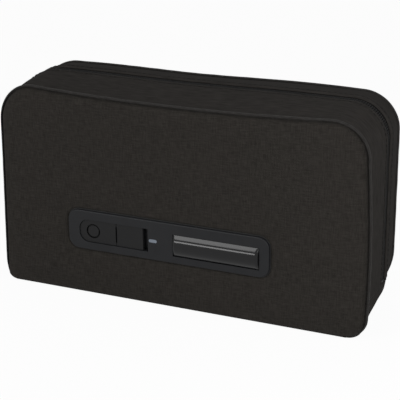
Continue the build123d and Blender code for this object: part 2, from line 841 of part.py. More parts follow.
with BuildPart() as lamp_holders:
    for end in (-1, 1):
        with BuildSketch(Plane.YZ.offset(window_x + end * (cap_inner + cap_length / 2) - holder_width / 2)):
            with Locations((housing_floor_y, module_z)):
                Rectangle(lamp_back, holder_height, align=(Align.MAX, Align.CENTER))
            with Locations((lamp_y, module_z)):
                Circle(cap_radius + cap_fit, mode=Mode.SUBTRACT)
        extrude(amount=holder_width)
finish(lamp_holders.part, "lamp_holders")

plate_length = 2 * (cap_inner - reflector_fit)
plate_front_y = housing_floor_y - plate_thickness
with BuildPart() as quartz_plate:
    add(module_block(plate_length, plate_height, plate_thickness, housing_floor_y,
                     plate_thickness, window_x))
finish(quartz_plate.part, "quartz_plate")

trough_y = plate_front_y - reflector_skirt
with BuildPart() as reflector:
    for radius, mode in ((reflector_radius, Mode.ADD), (reflector_radius - reflector_sheet, Mode.SUBTRACT)):
        with BuildSketch(Plane.YZ.offset(window_x - plate_length / 2)):
            with BuildLine():
                trough = ThreePointArc((trough_y, module_z - radius), (trough_y - radius, module_z),
                                       (trough_y, module_z + radius))
                Polyline(trough @ 1, (plate_front_y, module_z + radius), (plate_front_y, module_z - radius),
                         trough @ 0)
            make_face()
        extrude(amount=plate_length, mode=mode)
    with BuildSketch(front_plane(trough_y)):
        with Locations((window_x, module_z)):
            SlotOverall(plate_length - 2 * view_slot_margin, view_slot_height)
    extrude(amount=far, mode=Mode.SUBTRACT)
finish(reflector.part, "reflector")

with BuildPart() as lamp_guard:
    add(module_block(lamp_port_width + 2 * guard_margin, guard_height, guard_thickness,
                     housing_back_y + guard_thickness, guard_thickness, window_x))
    with BuildSketch(front_plane(housing_back_y + guard_thickness)):
        with Locations((window_x, module_z)):
            with GridLocations(lamp_port_width / guard_slots, 1, guard_slots, 1):
                SlotOverall(lamp_port_height, guard_slot_width, rotation=90)
    extrude(amount=guard_thickness, mode=Mode.SUBTRACT)
finish(lamp_guard.part, "lamp_guard")
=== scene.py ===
# %% [markdown]
# This file dresses the frame of a zipped sterilizer pouch. The frame gives every hard part at its
# real size. The cloth, the zip's teeth, the seams and every finish are made here, step by step.

# %% Load the frame
import math

import bmesh
import bpy
import numpy as np
from mathutils import Matrix, Vector, noise


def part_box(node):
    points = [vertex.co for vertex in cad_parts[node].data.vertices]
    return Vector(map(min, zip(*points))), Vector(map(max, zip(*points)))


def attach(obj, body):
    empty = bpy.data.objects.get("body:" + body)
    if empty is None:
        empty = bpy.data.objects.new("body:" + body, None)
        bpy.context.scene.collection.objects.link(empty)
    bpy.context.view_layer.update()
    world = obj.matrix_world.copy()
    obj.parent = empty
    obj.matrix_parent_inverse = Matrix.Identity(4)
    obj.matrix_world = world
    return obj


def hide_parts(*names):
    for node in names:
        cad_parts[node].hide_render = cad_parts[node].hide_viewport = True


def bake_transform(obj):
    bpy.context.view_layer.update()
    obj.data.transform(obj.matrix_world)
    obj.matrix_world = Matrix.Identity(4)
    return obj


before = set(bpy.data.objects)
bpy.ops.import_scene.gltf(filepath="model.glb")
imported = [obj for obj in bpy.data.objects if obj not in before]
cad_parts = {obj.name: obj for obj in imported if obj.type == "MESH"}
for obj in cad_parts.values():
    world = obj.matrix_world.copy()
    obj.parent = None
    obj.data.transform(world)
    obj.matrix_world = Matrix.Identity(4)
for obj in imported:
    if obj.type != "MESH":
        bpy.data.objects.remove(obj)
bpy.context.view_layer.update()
mm = 0.001

# %% [markdown]
# A material's network is easier to read as arithmetic than as a list of nodes and links. A Reading
# wraps one output socket, and each arithmetic sign adds the Math node behind it. Everything that
# isn't arithmetic goes through one method, which takes the node's type, its settings and its inputs.

# %% Shader arithmetic
class Reading:
    """One value in a material's network, which arithmetic extends."""

    def __init__(self, finish, socket):
        self.finish = finish
        self.socket = socket

    def __add__(self, other):
        return self.finish.maths("ADD", self, other)

    def __sub__(self, other):
        return self.finish.maths("SUBTRACT", self, other)

    def __rsub__(self, other):
        return self.finish.maths("SUBTRACT", other, self)

    def __mul__(self, other):
        return self.finish.maths("MULTIPLY", self, other)

    def __truediv__(self, other):
        return self.finish.maths("DIVIDE", self, other)

    def sine(self):
        return self.finish.maths("SINE", self)

    def size(self):
        return self.finish.maths("ABSOLUTE", self)

    def above(self, level):
        return self.finish.maths("GREATER_THAN", self, level)

    def within(self, low, high):
        """This value rescaled from low..high to 0..1, and held there."""
        return self.finish.node("ShaderNodeMapRange", {"clamp": True},
                                {"Value": self, "From Min": low, "From Max": high})


print("a Reading stands for one output socket")

# %% [markdown]
# A Finish holds one material and its node tree. Its methods are what the pouch's finishes share: a
# mix of two colours, a place on the cloth or in the object, two kinds of noise, and the surface
# itself, where a constant value is set on the shader's own socket and only a varying one is linked.

# %% One material's network
class Finish:
    """One material, or a world, whose network is written as arithmetic on Readings."""

    def __init__(self, name, owner=None):
        self.owner = owner or bpy.data.materials.new(name)
        self.owner.use_nodes = True
        self.tree = self.owner.node_tree
        self.tree.nodes.clear()

    def node(self, kind, settings=None, inputs=None, output=0):
        """Adds a node, sets it up, then gives its sockets their values or links."""
        made = self.tree.nodes.new(kind)
        for key, value in (settings or {}).items():
            setattr(made, key, value)
        for key, value in (inputs or {}).items():
            if isinstance(value, Reading):
                self.tree.links.new(value.socket, made.inputs[key])
            else:
                made.inputs[key].default_value = value
        return Reading(self, made.outputs[output]) if made.outputs else None

    def maths(self, operation, *values):
        return self.node("ShaderNodeMath", {"operation": operation}, dict(enumerate(values)))

    def mix(self, share, first, second):
        """A colour between two colours."""
        colours = [colour if isinstance(colour, Reading) else (*colour, 1.0) for colour in (first, second)]
        return self.node("ShaderNodeMix", {"data_type": "RGBA"}, {0: share, 6: colours[0], 7: colours[1]}, 2)

    def cloth_place(self):
        """The cloth's own length and width, in metres, as two Readings."""
        place = self.node("ShaderNodeUVMap", {"uv_map": "Cloth"})
        parts = self.tree.nodes.new("ShaderNodeSeparateXYZ")
        self.tree.links.new(place.socket, parts.inputs[0])
        return Reading(self, parts.outputs[0]), Reading(self, parts.outputs[1])

    def object_place(self):
        return self.node("ShaderNodeTexCoord", output=3)

    def stretched_noise(self, along, across):
        """Noise on the cloth's own place, with its features along and across, in metres."""
        length, width = self.cloth_place()
        place = self.node("ShaderNodeCombineXYZ", inputs={0: length / along, 1: width / across})
        return self.node("ShaderNodeTexNoise", {"noise_dimensions": "2D"},
                         {"Vector": place, "Scale": 1.0, "Detail": 2.0, "Roughness": 0.6})

    def solid_noise(self, size, detail=3.0):
        """Noise on the object's own coordinates, with features of one size in metres."""
        return self.node("ShaderNodeTexNoise", {},
                         {"Vector": self.object_place(), "Scale": 1.0 / size, "Detail": detail,
                          "Roughness": 0.6})

    def surface(self, colour, roughness, bump=None, depth=0.0001, strength=1.0, **fixed):
        """Ends the network in one principled surface, with an optional bump."""
        inputs = {"Roughness": roughness}
        inputs["Base Color"] = colour if isinstance(colour, Reading) else (*colour, 1.0)
        if bump is not None:
            inputs["Normal"] = self.node("ShaderNodeBump", {},
                                         {"Height": bump, "Distance": depth, "Strength": strength})
        inputs.update({name.replace("_", " "): value for name, value in fixed.items()})
        shader = self.node("ShaderNodeBsdfPrincipled", {}, inputs)
        self.node("ShaderNodeOutputMaterial", {}, {"Surface": shader})
        return self.owner


print("a Finish stands for one material, or for the world")

# %% [markdown]
# The canvas is a plain weave of dark yarns that differ a little from each other, which gives it
# its grey mottle. Two noises stretched along the two yarn directions stand for the uneven yarns,
# and a weave of sines, one yarn wide, says which of the two lies on top.

# %% Plain woven canvas
canvas_yarn = 0.45 * mm


def weave(finish, yarn):
    """Which yarn lies on top, 0 or 1, and the height of the weave."""
    length, width = finish.cloth_place()
    warp = (length * (math.pi / yarn)).sine()
    weft = (width * (math.pi / yarn)).sine()
    on_top = (warp * weft).above(0.0)
    height = on_top * warp.size() + (1.0 - on_top) * weft.size()
    return on_top, height


def canvas_finish():
    """Melange canvas, plain woven."""
    finish = Finish("canvas")
    on_top, height = weave(finish, canvas_yarn)
    warp_tone = finish.stretched_noise(6.0 * mm, 0.7 * mm)
    weft_tone = finish.stretched_noise(0.7 * mm, 6.0 * mm)
    tone = (on_top * warp_tone + (1.0 - on_top) * weft_tone).within(0.30, 0.72)
    cloud = finish.solid_noise(28.0 * mm, 2.0).within(0.25, 0.75)
    colour = finish.mix(tone, (0.0125, 0.0112, 0.0098), (0.0300, 0.0272, 0.0240))
    colour = finish.mix(cloud * 0.22, colour, (0.026, 0.0225, 0.0195))
    bump = height * 0.7 + tone * 0.5
    return finish.surface(colour, 0.85, bump, 0.12 * mm, 0.6, Sheen_Weight=0.02, Sheen_Roughness=0.5,
                          Specular_IOR_Level=0.04)


canvas = canvas_finish()
print("cloth", canvas.name)

# %% [markdown]
# The gussets are a smoother cloth, woven so tightly that only a slanting ridge shows. One sine
# across the slant gives that ridge at its real size. The binding over the seam cords is the same
# cloth, cut at a slant and pulled tight, so its ridge leans another way.

# %% Gusset and binding cloth
twill_yarn = 0.3 * mm


def twill_finish():
    """Smooth, tightly woven gusset cloth, a little silky."""
    finish = Finish("gusset_cloth")
    length, width = finish.cloth_place()
    wale = ((length + width) * (math.pi / twill_yarn)).sine().size()
    tone = finish.stretched_noise(9.0 * mm, 1.2 * mm).within(0.3, 0.7)
    worn = finish.solid_noise(16.0 * mm, 2.0).within(0.3, 0.7)
    colour = finish.mix(tone, (0.0215, 0.0200, 0.0187), (0.0325, 0.0302, 0.0282))
    colour = finish.mix(worn * 0.2, colour, (0.0370, 0.0336, 0.0308))
    return finish.surface(colour, 0.62, wale * 0.4 + tone * 0.3, 0.05 * mm, 0.5,
                          Sheen_Weight=0.02, Sheen_Roughness=0.35, Specular_IOR_Level=0.0)


def binding_finish():
    """Bias binding over the seam cord."""
    finish = Finish("piping_cloth")
    length, width = finish.cloth_place()
    wale = ((length * 0.7 + width) * (math.pi / twill_yarn)).sine().size()
    tone = finish.stretched_noise(3.0 * mm, 0.8 * mm).within(0.3, 0.7)
    colour = finish.mix(tone, (0.0180, 0.0170, 0.0160), (0.0290, 0.0273, 0.0258))
    return finish.surface(colour, 0.6, wale * 0.5 + tone * 0.5, 0.06 * mm, 0.6,
                          Sheen_Weight=0.02, Sheen_Roughness=0.4, Specular_IOR_Level=0.04)


twill, binding = twill_finish(), binding_finish()
print("cloths", twill.name, binding.name)

# %% [markdown]
# The zip's tape is ribbed along its length. The lining is a thin weave with a metal coat, so it is
# half a mirror: the weave and the creases go into the bump, and the creases change the shine too.

# %% Zip tape and lining cloth
foil_yarn = 0.5 * mm
tape_rib = 0.8 * mm


def tape_finish():
    """Ribbed woven zip tape."""
    finish = Finish("zip_tape")
    length, width = finish.cloth_place()
    rib = (length * (math.pi / tape_rib)).sine().size()
    tone = finish.stretched_noise(1.0 * mm, 5.0 * mm).within(0.3, 0.7)
    colour = finish.mix(tone, (0.0075, 0.0073, 0.0072), (0.0140, 0.0135, 0.0130))
    return finish.surface(colour, 0.8, rib, 0.15 * mm, 0.7, Specular_IOR_Level=0.02)


def foil_finish():
    """Silver coated lining, with the weave showing through and soft creases."""
    finish = Finish("lining_foil")
    on_top, height = weave(finish, foil_yarn)
    crease = finish.solid_noise(7.0 * mm, 4.0)
    tone = finish.stretched_noise(12.0 * mm, 1.5 * mm).within(0.3, 0.7)
    colour = finish.mix(tone, (0.42, 0.43, 0.45), (0.56, 0.57, 0.59))
    rough = crease.within(0.3, 0.7) * 0.18 + 0.30
    return finish.surface(colour, rough, height * 0.25 + crease * 3.0, 0.35 * mm, 0.7, Metallic=0.55)


zip_cloth, foil = tape_finish(), foil_finish()
print("cloths", zip_cloth.name, foil.name)

# %% [markdown]
# The hard parts are mouldings. A moulded part takes its skin from its tool: a fine spark-eroded
# grain on the bezel, a silkier one on the rubber pad. A small noise in the bump gives that grain,
# and a slow noise in the roughness stands for the marks that hands leave.

# %% Kinds of hard finish
def moulded_finish(name, dark, light, roughness, grain, depth, **fixed):
    """A moulding with an even grain and a slightly uneven shine."""
    finish = Finish(name)
    skin = finish.solid_noise(grain, 2.0)
    marks = finish.solid_noise(9.0 * mm, 3.0).within(0.3, 0.7)
    colour = finish.mix(marks, dark, light)
    return finish.surface(colour, marks * 0.08 + roughness, skin, depth, 0.7, **fixed)


def metal_finish(name, colour, roughness):
    """Metal with fine drawn lines."""
    finish = Finish(name)
    lines = finish.solid_noise(1.2 * mm, 4.0)
    tone = lines.within(0.3, 0.7)
    shade = finish.mix(tone, tuple(0.85 * c for c in colour), colour)
    return finish.surface(shade, tone * 0.12 + roughness, lines, 0.02 * mm, 0.5, Metallic=1.0)


def clear_finish(name, tint, roughness, ior=1.46, clear=1.0):
    """Clear or smoked moulding or glass, with faint smears in its tint."""
    finish = Finish(name)
    smear = finish.solid_noise(9.0 * mm, 3.0).within(0.45, 0.8)
    colour = finish.mix(smear, tint, tuple(0.9 * c for c in tint))
    return finish.surface(colour, roughness, Transmission_Weight=clear, IOR=ior)


def lit_finish(name, colour, strength):
    """A lit diffuser, with a faint uneven glow."""
    finish = Finish(name)
    glow = finish.solid_noise(1.5 * mm, 1.0).within(0.2, 0.8)
    finish_colour = finish.mix(glow, tuple(0.8 * c for c in colour), colour)
    return finish.surface(finish_colour, 0.35, None, Emission_Color=finish_colour, Emission_Strength=strength)


print("kinds: moulded, metal, clear and lit")

# %% [markdown]
# Every hard material of the pouch gets its own colours, gloss and grain. The dark mouldings are
# close in colour, and what tells them apart is their gloss: the pad is duller than the bezel, and
# the window is smoked so darkly that only the lamps in its face are seen.

# %% One finish for each hard material
plain = {
    "bezel": moulded_finish("bezel_plastic", (0.0080, 0.0083, 0.0093), (0.0104, 0.0107, 0.0118), 0.42,
                            0.35 * mm, 0.03 * mm, Specular_IOR_Level=0.16),
    "pad": moulded_finish("pad_rubber", (0.0085, 0.0085, 0.0088), (0.0110, 0.0110, 0.0113), 0.62,
                          0.25 * mm, 0.02 * mm, Specular_IOR_Level=0.15),
    "seal": moulded_finish("seal_rubber", (0.008, 0.008, 0.008), (0.012, 0.012, 0.012), 0.8,
                           0.4 * mm, 0.03 * mm),
    "housing": moulded_finish("housing_plastic", (0.030, 0.030, 0.032), (0.040, 0.040, 0.042), 0.5,
                              0.4 * mm, 0.04 * mm),
    "coil": moulded_finish("zip_coil", (0.008, 0.008, 0.008), (0.014, 0.014, 0.014), 0.5, 0.5 * mm, 0.01 * mm,
                           Specular_IOR_Level=0.1),
    "enamel": moulded_finish("zip_metal", (0.016, 0.016, 0.017), (0.024, 0.024, 0.025), 0.3,
                             0.8 * mm, 0.01 * mm, Specular_IOR_Level=0.25),
    "board": moulded_finish("circuit", (0.008, 0.07, 0.03), (0.012, 0.10, 0.045), 0.3, 1.0 * mm, 0.02 * mm),
    "chip": moulded_finish("component_black", (0.015, 0.015, 0.015), (0.025, 0.025, 0.025), 0.45,
                           0.4 * mm, 0.02 * mm),
    "wrap": moulded_finish("battery_wrap", (0.35, 0.37, 0.40), (0.45, 0.47, 0.50), 0.3, 3.0 * mm, 0.05 * mm),
    "cap": moulded_finish("lamp_cap", (0.50, 0.50, 0.48), (0.62, 0.62, 0.60), 0.5, 0.4 * mm, 0.02 * mm),
    "stiff": moulded_finish("stiffener", (0.03, 0.03, 0.03), (0.05, 0.05, 0.05), 0.6, 1.0 * mm, 0.03 * mm),
    "steel": metal_finish("plated_steel", (0.60, 0.60, 0.60), 0.25),
    "screw": metal_finish("screw_steel", (0.35, 0.35, 0.36), 0.30),
    "mirror": metal_finish("mirror_sheet", (0.80, 0.80, 0.82), 0.12),
    "window": clear_finish("window_clear", (0.0040, 0.0040, 0.0044), 0.11, 1.33, clear=0.0),
    "quartz": clear_finish("quartz", (0.95, 0.95, 0.97), 0.02),
    "tube": clear_finish("lamp_glass", (0.92, 0.93, 0.97), 0.03),
    "light": lit_finish("light_guide", (0.12, 0.14, 0.17), 0.12),
    "led": lit_finish("led_body", (0.9, 0.9, 0.8), 0.2),
}
print("plain finishes", len(plain))

# %% [markdown]
# The case is three outlines joined by cloth: the front seam, the flat band of the zip and the rear
# seam. One function draws an outline, and others take a stretch of it and find the cloth's place
# between two of them. Every cloth piece is cut from those, so that neighbours meet.

# %% The case's outlines
front_seam = {"y": -29.0, "half_base": 116.0, "half_top": 114.5, "height": 128.4, "rise": -2.2,
              "corners": {-1: 24.0, 1: 21.0}, "low_corners": {-1: 6.0, 1: 11.0}, "bow": 8.0,
              "sag": 0.0, "swell": {-1: 0.0, 1: 1.3}, "lean": {-1: 1.0, 1: 0.0}}
zip_line = {"y": 4.0, "half_base": 116.5, "half_top": 116.5, "height": 130.6, "rise": 0.4,
            "corners": {-1: 28.0, 1: 22.0}, "low_corners": {-1: 22.0, 1: 23.0}, "bow": 0.0,
            "sag": 0.6, "swell": {-1: 0.0, 1: 0.0}, "lean": {-1: 0.0, 1: 0.0}}
rear_seam = {"y": 28.0, "half_base": 115.0, "half_top": 115.0, "height": 128.4, "rise": 0.6,
             "corners": {-1: 24.0, 1: 21.0}, "low_corners": {-1: 28.0, 1: 34.0}, "bow": 3.0,
             "sag": 1.0, "swell": {-1: 0.0, 1: 0.0}, "lean": {-1: 0.0, 1: 0.0}}
seams = (front_seam, zip_line, rear_seam)
print("seams at", [seam["y"] for seam in seams], "mm deep")

# %% [markdown]
# Half an outline runs from the middle of the base, round the low corner, up the side, round the
# high corner and to the middle of the top. The top of a soft case isn't straight. At the front it
# falls towards its middle, at the zip and the rear it rises a little, and those two sag at the left.

# %% One outline of the case
slump_depth, slump_start, slump_length = 1.3, 85.0, 110.0
dent_depth, dent_place, dent_reach = 0.9, -5.0, 75.0
base_count, low_count, side_count, high_count, top_count = 30, 16, 40, 24, 40


def smooth(value):
    """A step from 0 to 1 with soft ends."""
    value = np.clip(value, 0, 1)
    return value * value * (3 - 2 * value)


def run(start, stop, count):
    """Points along a straight stretch, without the last one."""
    share = np.linspace(0, 1, count, endpoint=False)[:, None]
    return (1 - share) * np.array(start) + share * np.array(stop)


def turn(centre, radius, start, stop, count):
    """Points round a corner, without the last one."""
    angles = np.radians(np.linspace(start, stop, count, endpoint=False))
    return np.column_stack([centre[0] + radius * np.cos(angles), centre[1] + radius * np.sin(angles)])


def top_rise(seam, x):
    """How far the top edge stands above its ends: an even curve, less the sag left of its middle."""
    slump = slump_depth * smooth((slump_start - x) / slump_length)
    dent = dent_depth * np.cos(np.clip((x - dent_place) / dent_reach, -1, 1) * math.pi / 2) ** 2
    return seam["rise"] * (1 - (x / seam["half_top"]) ** 2) - seam["sag"] * (slump + dent)


def half_outline(seam, inset, side):
    """One half of an outline, from the middle of its base to that of its top, drawn to the right."""
    base, top = seam["half_base"] - inset, seam["half_top"] - seam["lean"][side] - inset
    low, high = seam["low_corners"][side] - inset, seam["corners"][side] - inset
    across = np.linspace(top - high, 0, top_count)
    top_line = seam["height"] - inset + top_rise(seam, across * side)
    centre_z = top_line[0] - high
    flank = run((base, inset + low), (top, centre_z), side_count)
    flank[:, 0] += seam["swell"][side] * np.sin(np.linspace(0, math.pi, side_count))
    return np.vstack([run((0, inset), (base - low, inset), base_count),
                      turn((base - low, inset + low), low, -90, 0, low_count),
                      flank,
                      turn((top - high, centre_z), high, 0, 90, high_count),
                      np.column_stack([across, top_line])])


def whole_outline(seam, inset):
    """One closed outline, without its first point again at the end."""
    left = half_outline(seam, inset, -1) * (-1, 1)
    return np.vstack([half_outline(seam, inset, 1), left[-2:0:-1]])


print("front outline", np.ptp(whole_outline(front_seam, 0), axis=0), "mm")

# %% [markdown]
# A gusset needs only the stretch over the top, and a web only the one round a low corner. Both are
# cut from the outline and get evenly spaced points, as many on every seam, so that the points of
# neighbouring seams pair up.

# %% Stretches of an outline
web_height = 22.0
strip_columns = 240


def run_lengths(line):
    """How far along the line each of its points lies."""
    return np.concatenate([[0], np.cumsum(np.linalg.norm(np.diff(line, axis=0), axis=1))])


def even(line, count):
    """The line again, with count points spread evenly along it."""
    along = run_lengths(line)
    at = np.linspace(0, along[-1], count)
    return np.column_stack([np.interp(at, along, line[:, 0]), np.interp(at, along, line[:, 1])])


def over_top(seam, inset, low, count):
    """The stretch from the right side's level low, over the top, to the left side's."""
    halves = []
    for side in (1, -1):
        climb = half_outline(seam, inset, side)[base_count:]
        flank = climb[:low_count + side_count]
        start = [[np.interp(low, flank[:, 1], flank[:, 0]), low]]
        halves.append(np.vstack([start, climb[climb[:, 1] > low]]))
    return even(np.vstack([halves[0], halves[1][-2::-1] * (-1, 1)]), count)


def round_corner(seam, inset, lap, high, side, count):
    """The stretch from the base, lap short of the corner, round it and up to the level high."""
    corner = half_outline(seam, inset, side)[base_count:base_count + low_count + side_count]
    end = [[np.interp(high, corner[low_count // 2:, 1], corner[low_count // 2:, 0]), high]]
    start = [[seam["half_base"] - seam["low_corners"][side] - lap, inset]]
    return even(np.vstack([start, corner[corner[:, 1] < high], end]), count) * (side, 1)


print("over the top", len(over_top(front_seam, 0, web_height, strip_columns)), "points")

# %% [markdown]
# Between two seams the cloth is straight, but for the flat band of the zip, and the padded faces
# push their seams outwards at the top.

# %% Cloth between the seams
zip_band = 5.0
bow_reach = 119.5
frame_low, frame_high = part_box("backing_frame")
flat_top = frame_high.z / mm


def bulge(seam, x, z):
    """How far the bowed face of a seam stands out, most at the middle of its top."""
    rise = np.clip((z - flat_top) / (front_seam["height"] - flat_top), 0, None)
    return seam["bow"] * rise ** 2 * (1 - (x / bow_reach) ** 2)


def between(curves, y):
    """Places on the cloth at depths y, in rows, from the same stretch of the three outlines."""
    front, middle, rear = curves
    band_front, band_rear = zip_line["y"] - zip_band, zip_line["y"] + zip_band
    to_front = np.clip((band_front - y) / (band_front - front_seam["y"]), 0, 1)[..., None]
    to_rear = np.clip((y - band_rear) / (rear_seam["y"] - band_rear), 0, 1)[..., None]
    return middle + to_front * (front - middle) + to_rear * (rear - middle)


def in_space(places, y):
    """Points in three dimensions, from places in the outlines and their depths."""
    return np.stack([places[..., 0], np.broadcast_to(y, places.shape[:-1]), places[..., 1]], axis=-1)


def unit(vectors):
    """The vectors with their length made 1."""
    return vectors / np.linalg.norm(vectors, axis=-1, keepdims=True)


def outward(places):
    """The outward direction at each point of rows that run from right to left."""
    along = unit(np.gradient(places, axis=-2))
    return np.stack([along[..., 1], -along[..., 0]], axis=-1)


def lifted(places, y, lift):
    """Points in three dimensions, moved outwards by the lift at each place."""
    return in_space(places + outward(places) * lift[..., None], y)


print("flat up to", round(flat_top, 1), "mm")

# %% [markdown]
# The grids are finest where a cloth turns, so their steps grow away from both ends. A slow noise in
# space gives every cloth its own unevenness, the same in each run.

# %% Steps and unevenness
step_growth = 0.22


def spaced(start, stop, first, middle, last):
    """Numbers from start to stop, with small steps at both ends that grow towards middle."""
    at = [0.0]
    length = stop - start
    while at[-1] < length:
        left = length - at[-1]
        step = first + step_growth * at[-1] if at[-1] < length / 2 else last + step_growth * left
        at.append(at[-1] + min(middle, step))
    return start + np.array(at) * length / at[-1]


def ripple(places, size, seed):
    """A slow unevenness, from -1 to 1, at points in millimetres."""
    flat = places.reshape(-1, 3) / size
    shifts = [noise.noise(Vector(point) + Vector((seed, seed, seed))) for point in flat]
    return np.array(shifts).reshape(places.shape[:-1])


print("steps over 10 mm:", np.round(spaced(0, 10, 0.5, 2.0, 0.5), 1).tolist())

# %% [markdown]
# A piece of cloth is a grid of points. Its own length and width, in metres, are stored as a UV
# map, so that the weave keeps its real size and follows the cloth round every corner.

# %% Cloth pieces from grids of points
def put_in_scene(name, data):
    """An object made of this mesh, camera or lamp, in the scene."""
    made = bpy.data.objects.new(name, data)
    bpy.context.scene.collection.objects.link(made)
    return made


def grid_piece(name, rows, flip=False, skip=None, place=None):
    """A cloth piece from a grid of points in millimetres, with its own place stored in metres."""
    rows = np.asarray(rows, float) * mm
    height, width, _ = rows.shape
    if place is None:
        along, across = run_lengths(rows[height // 2]), run_lengths(rows[:, width // 2])
        place = np.stack(np.meshgrid(along, across), axis=-1)
    index = np.arange(height * width).reshape(height, width)
    quads = np.stack([index[:-1, :-1], index[:-1, 1:], index[1:, 1:], index[1:, :-1]], axis=-1)
    quads = quads.reshape(-1, 4)
    if skip is not None:
        quads = quads[~skip.reshape(-1)]
    if flip:
        quads = quads[:, ::-1]
    mesh = bpy.data.meshes.new(name)
    mesh.from_pydata(rows.reshape(-1, 3).tolist(), [], quads.tolist())
    layer = mesh.uv_layers.new(name="Cloth")
    loops = np.empty(len(mesh.loops), np.int32)
    mesh.loops.foreach_get("vertex_index", loops)
    layer.data.foreach_set("uv", place.reshape(-1, 2)[loops].astype(np.float32).ravel())
    if skip is not None:
        drop_loose_points(mesh)
    mesh.shade_smooth()
    return put_in_scene(name, mesh)


def drop_loose_points(mesh):
    """Takes out the points that no face uses."""
    working = bmesh.new()
    working.from_mesh(mesh)
    bmesh.ops.delete(working, geom=[v for v in working.verts if not v.link_faces], context="VERTS")
    working.to_mesh(mesh)
    working.free()


print("cloth pieces keep their own place in a UV map named Cloth")

# %% [markdown]
# A sheet becomes cloth when it gets a thickness. Blender's Solidify does that, and the result is
# stored as a plain mesh, because a finished piece carries no live modifiers. Dressing a piece gives
# it its finish and says which body it rides on and which of the frame's solids it stands for.

# %% Thickness and dress
cloth_thickness = 1.1


def settle(piece):
    """Turns the piece and its modifiers into one plain mesh."""
    graph = bpy.context.evaluated_depsgraph_get()
    mesh = bpy.data.meshes.new_from_object(piece.evaluated_get(graph))
    piece.modifiers.clear()
    piece.data = mesh
    return piece


def thicken(piece, thickness):
    """Gives a sheet its thickness, inwards from the face that shows."""
    solid = piece.modifiers.new("thickness", "SOLIDIFY")
    solid.thickness = thickness * mm
    solid.offset = -1.0
    return settle(piece)


def dress(piece, material, slot, body, *nodes):
    """Gives a piece its material, its body and the frame's nodes that it stands for; its slot is not used."""
    piece.data.materials.clear()
    piece.data.materials.append(material)
    if body:
        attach(piece, body)
    if nodes:
        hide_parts(*nodes)
    print(piece.name, len(piece.data.polygons), "faces")
    return piece


print("cloth", cloth_thickness, "mm thick")

# %% [markdown]
# The size of the flat piece that each sheet was cut from is measured on the grid itself. The
# size is measured on the grid itself.

# %% Cut sizes of the sheets
def cut_size(rows):
    """The size and area, in metres, that a grid of cloth was cut to."""
    rows = np.asarray(rows, float) * mm
    width = np.linalg.norm(np.diff(rows, axis=0), axis=-1).sum(0)
    length = np.linalg.norm(np.diff(rows, axis=1), axis=-1).sum(1)
    u = np.diff(rows[:, :-1], axis=0)
    v = np.diff(rows[:-1], axis=1)
    area = np.linalg.norm(np.cross(u, v), axis=-1).sum()
    return (float(width.max()), float(length.max())), float(area)


def declare_sheet(rows, cut_out=0.0):
    """Works out the size that the piece was cut to, less its cut-out, but keeps nothing."""
    flat, area = cut_size(rows)
    min(area - cut_out, flat[0] * flat[1])


print("a sheet's flat size is in metres")

# %% [markdown]
# The front and rear are padded panels: canvas over foam, sewn in at the rim, where the canvas
# turns down to the seam. The rows of the grid end on the outline, so the panel's edge is exact.
# The bezel stands in the front panel, so its outline is needed to know how far a point is from it.

# %% Distances on a padded panel
bezel_low, bezel_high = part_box("bezel")
module_x = (bezel_low.x + bezel_high.x) / 2 / mm
module_z = (bezel_low.z + bezel_high.z) / 2 / mm
bezel_half_x = (bezel_high.x - bezel_low.x) / 2 / mm
bezel_half_z = (bezel_high.z - bezel_low.z) / 2 / mm
bezel_corner = 7.0
clamp_margin = 2.3
rim_inset = 0.7
hole_x = (module_x - bezel_half_x + clamp_margin, module_x + bezel_half_x - clamp_margin)
hole_z = (module_z - bezel_half_z + clamp_margin, module_z + bezel_half_z - clamp_margin)


def distance_to(line, x, z):
    """Distance from each point to a closed outline."""
    best = np.full(x.shape, 1e9)
    for (ax, az), (bx, bz) in zip(line, np.roll(line, -1, axis=0)):
        dx, dz = bx - ax, bz - az
        share = np.clip(((x - ax) * dx + (z - az) * dz) / max(dx * dx + dz * dz, 1e-12), 0, 1)
        best = np.minimum(best, np.hypot(x - ax - share * dx, z - az - share * dz))
    return best


def rim_distance(seam, x, z):
    """Distance from each point to the sewn rim, which runs over the sides and the top only."""
    line = whole_outline(seam, rim_inset)
    line[line[:, 1] < rim_inset + 0.01, 1] = -seam["height"]
    return distance_to(line, x, z)


def outside_bezel(x, z):
    """Distance outside the bezel's rounded outline, negative inside it."""
    dx = np.abs(x - module_x) - (bezel_half_x - bezel_corner)
    dz = np.abs(z - module_z) - (bezel_half_z - bezel_corner)
    return np.hypot(np.maximum(dx, 0), np.maximum(dz, 0)) + np.minimum(np.maximum(dx, dz), 0) - bezel_corner


print("bezel", round(2 * bezel_half_x, 1), "by", round(2 * bezel_half_z, 1), "mm")

# %% [markdown]
# The height of a point comes from its distance to the rim, like a pillow's, and falls again to the
# fold at the base. The middle columns stand upright, and the outer ones lean to meet the sides.

# %% Points of a padded panel
panel_crown = 1.8
rim_round, rim_tuck = 2.2, 2.6
base_round, base_tuck = 3.0, 0.6
straight_x = 80.0


def panel_places(seam, columns, levels, inset):
    """A grid of places over a panel whose rows end on the outline."""
    climbs = [half_outline(seam, inset, side)[base_count:-top_count + 1] for side in (-1, 1)]
    height = seam["height"] - inset
    places = np.zeros((len(levels), len(columns), 2))
    for index, level in enumerate(levels):
        share = np.clip((level - flat_top) / (height - flat_top), 0, 1)

        def row_z(x):
            return level + share * top_rise(seam, x)

        edges = [np.interp(0, climb[:, 1] - row_z(climb[:, 0] * side), climb[:, 0])
                 for climb, side in zip(climbs, (-1, 1))]
        edge = np.where(columns < 0, *edges)
        outer = (np.abs(columns) - straight_x) * (edge - straight_x) / (columns[-1] - straight_x)
        x = np.where(np.abs(columns) <= straight_x, columns, np.sign(columns) * (straight_x + outer))
        places[index] = np.column_stack([x, row_z(x)])
    return places


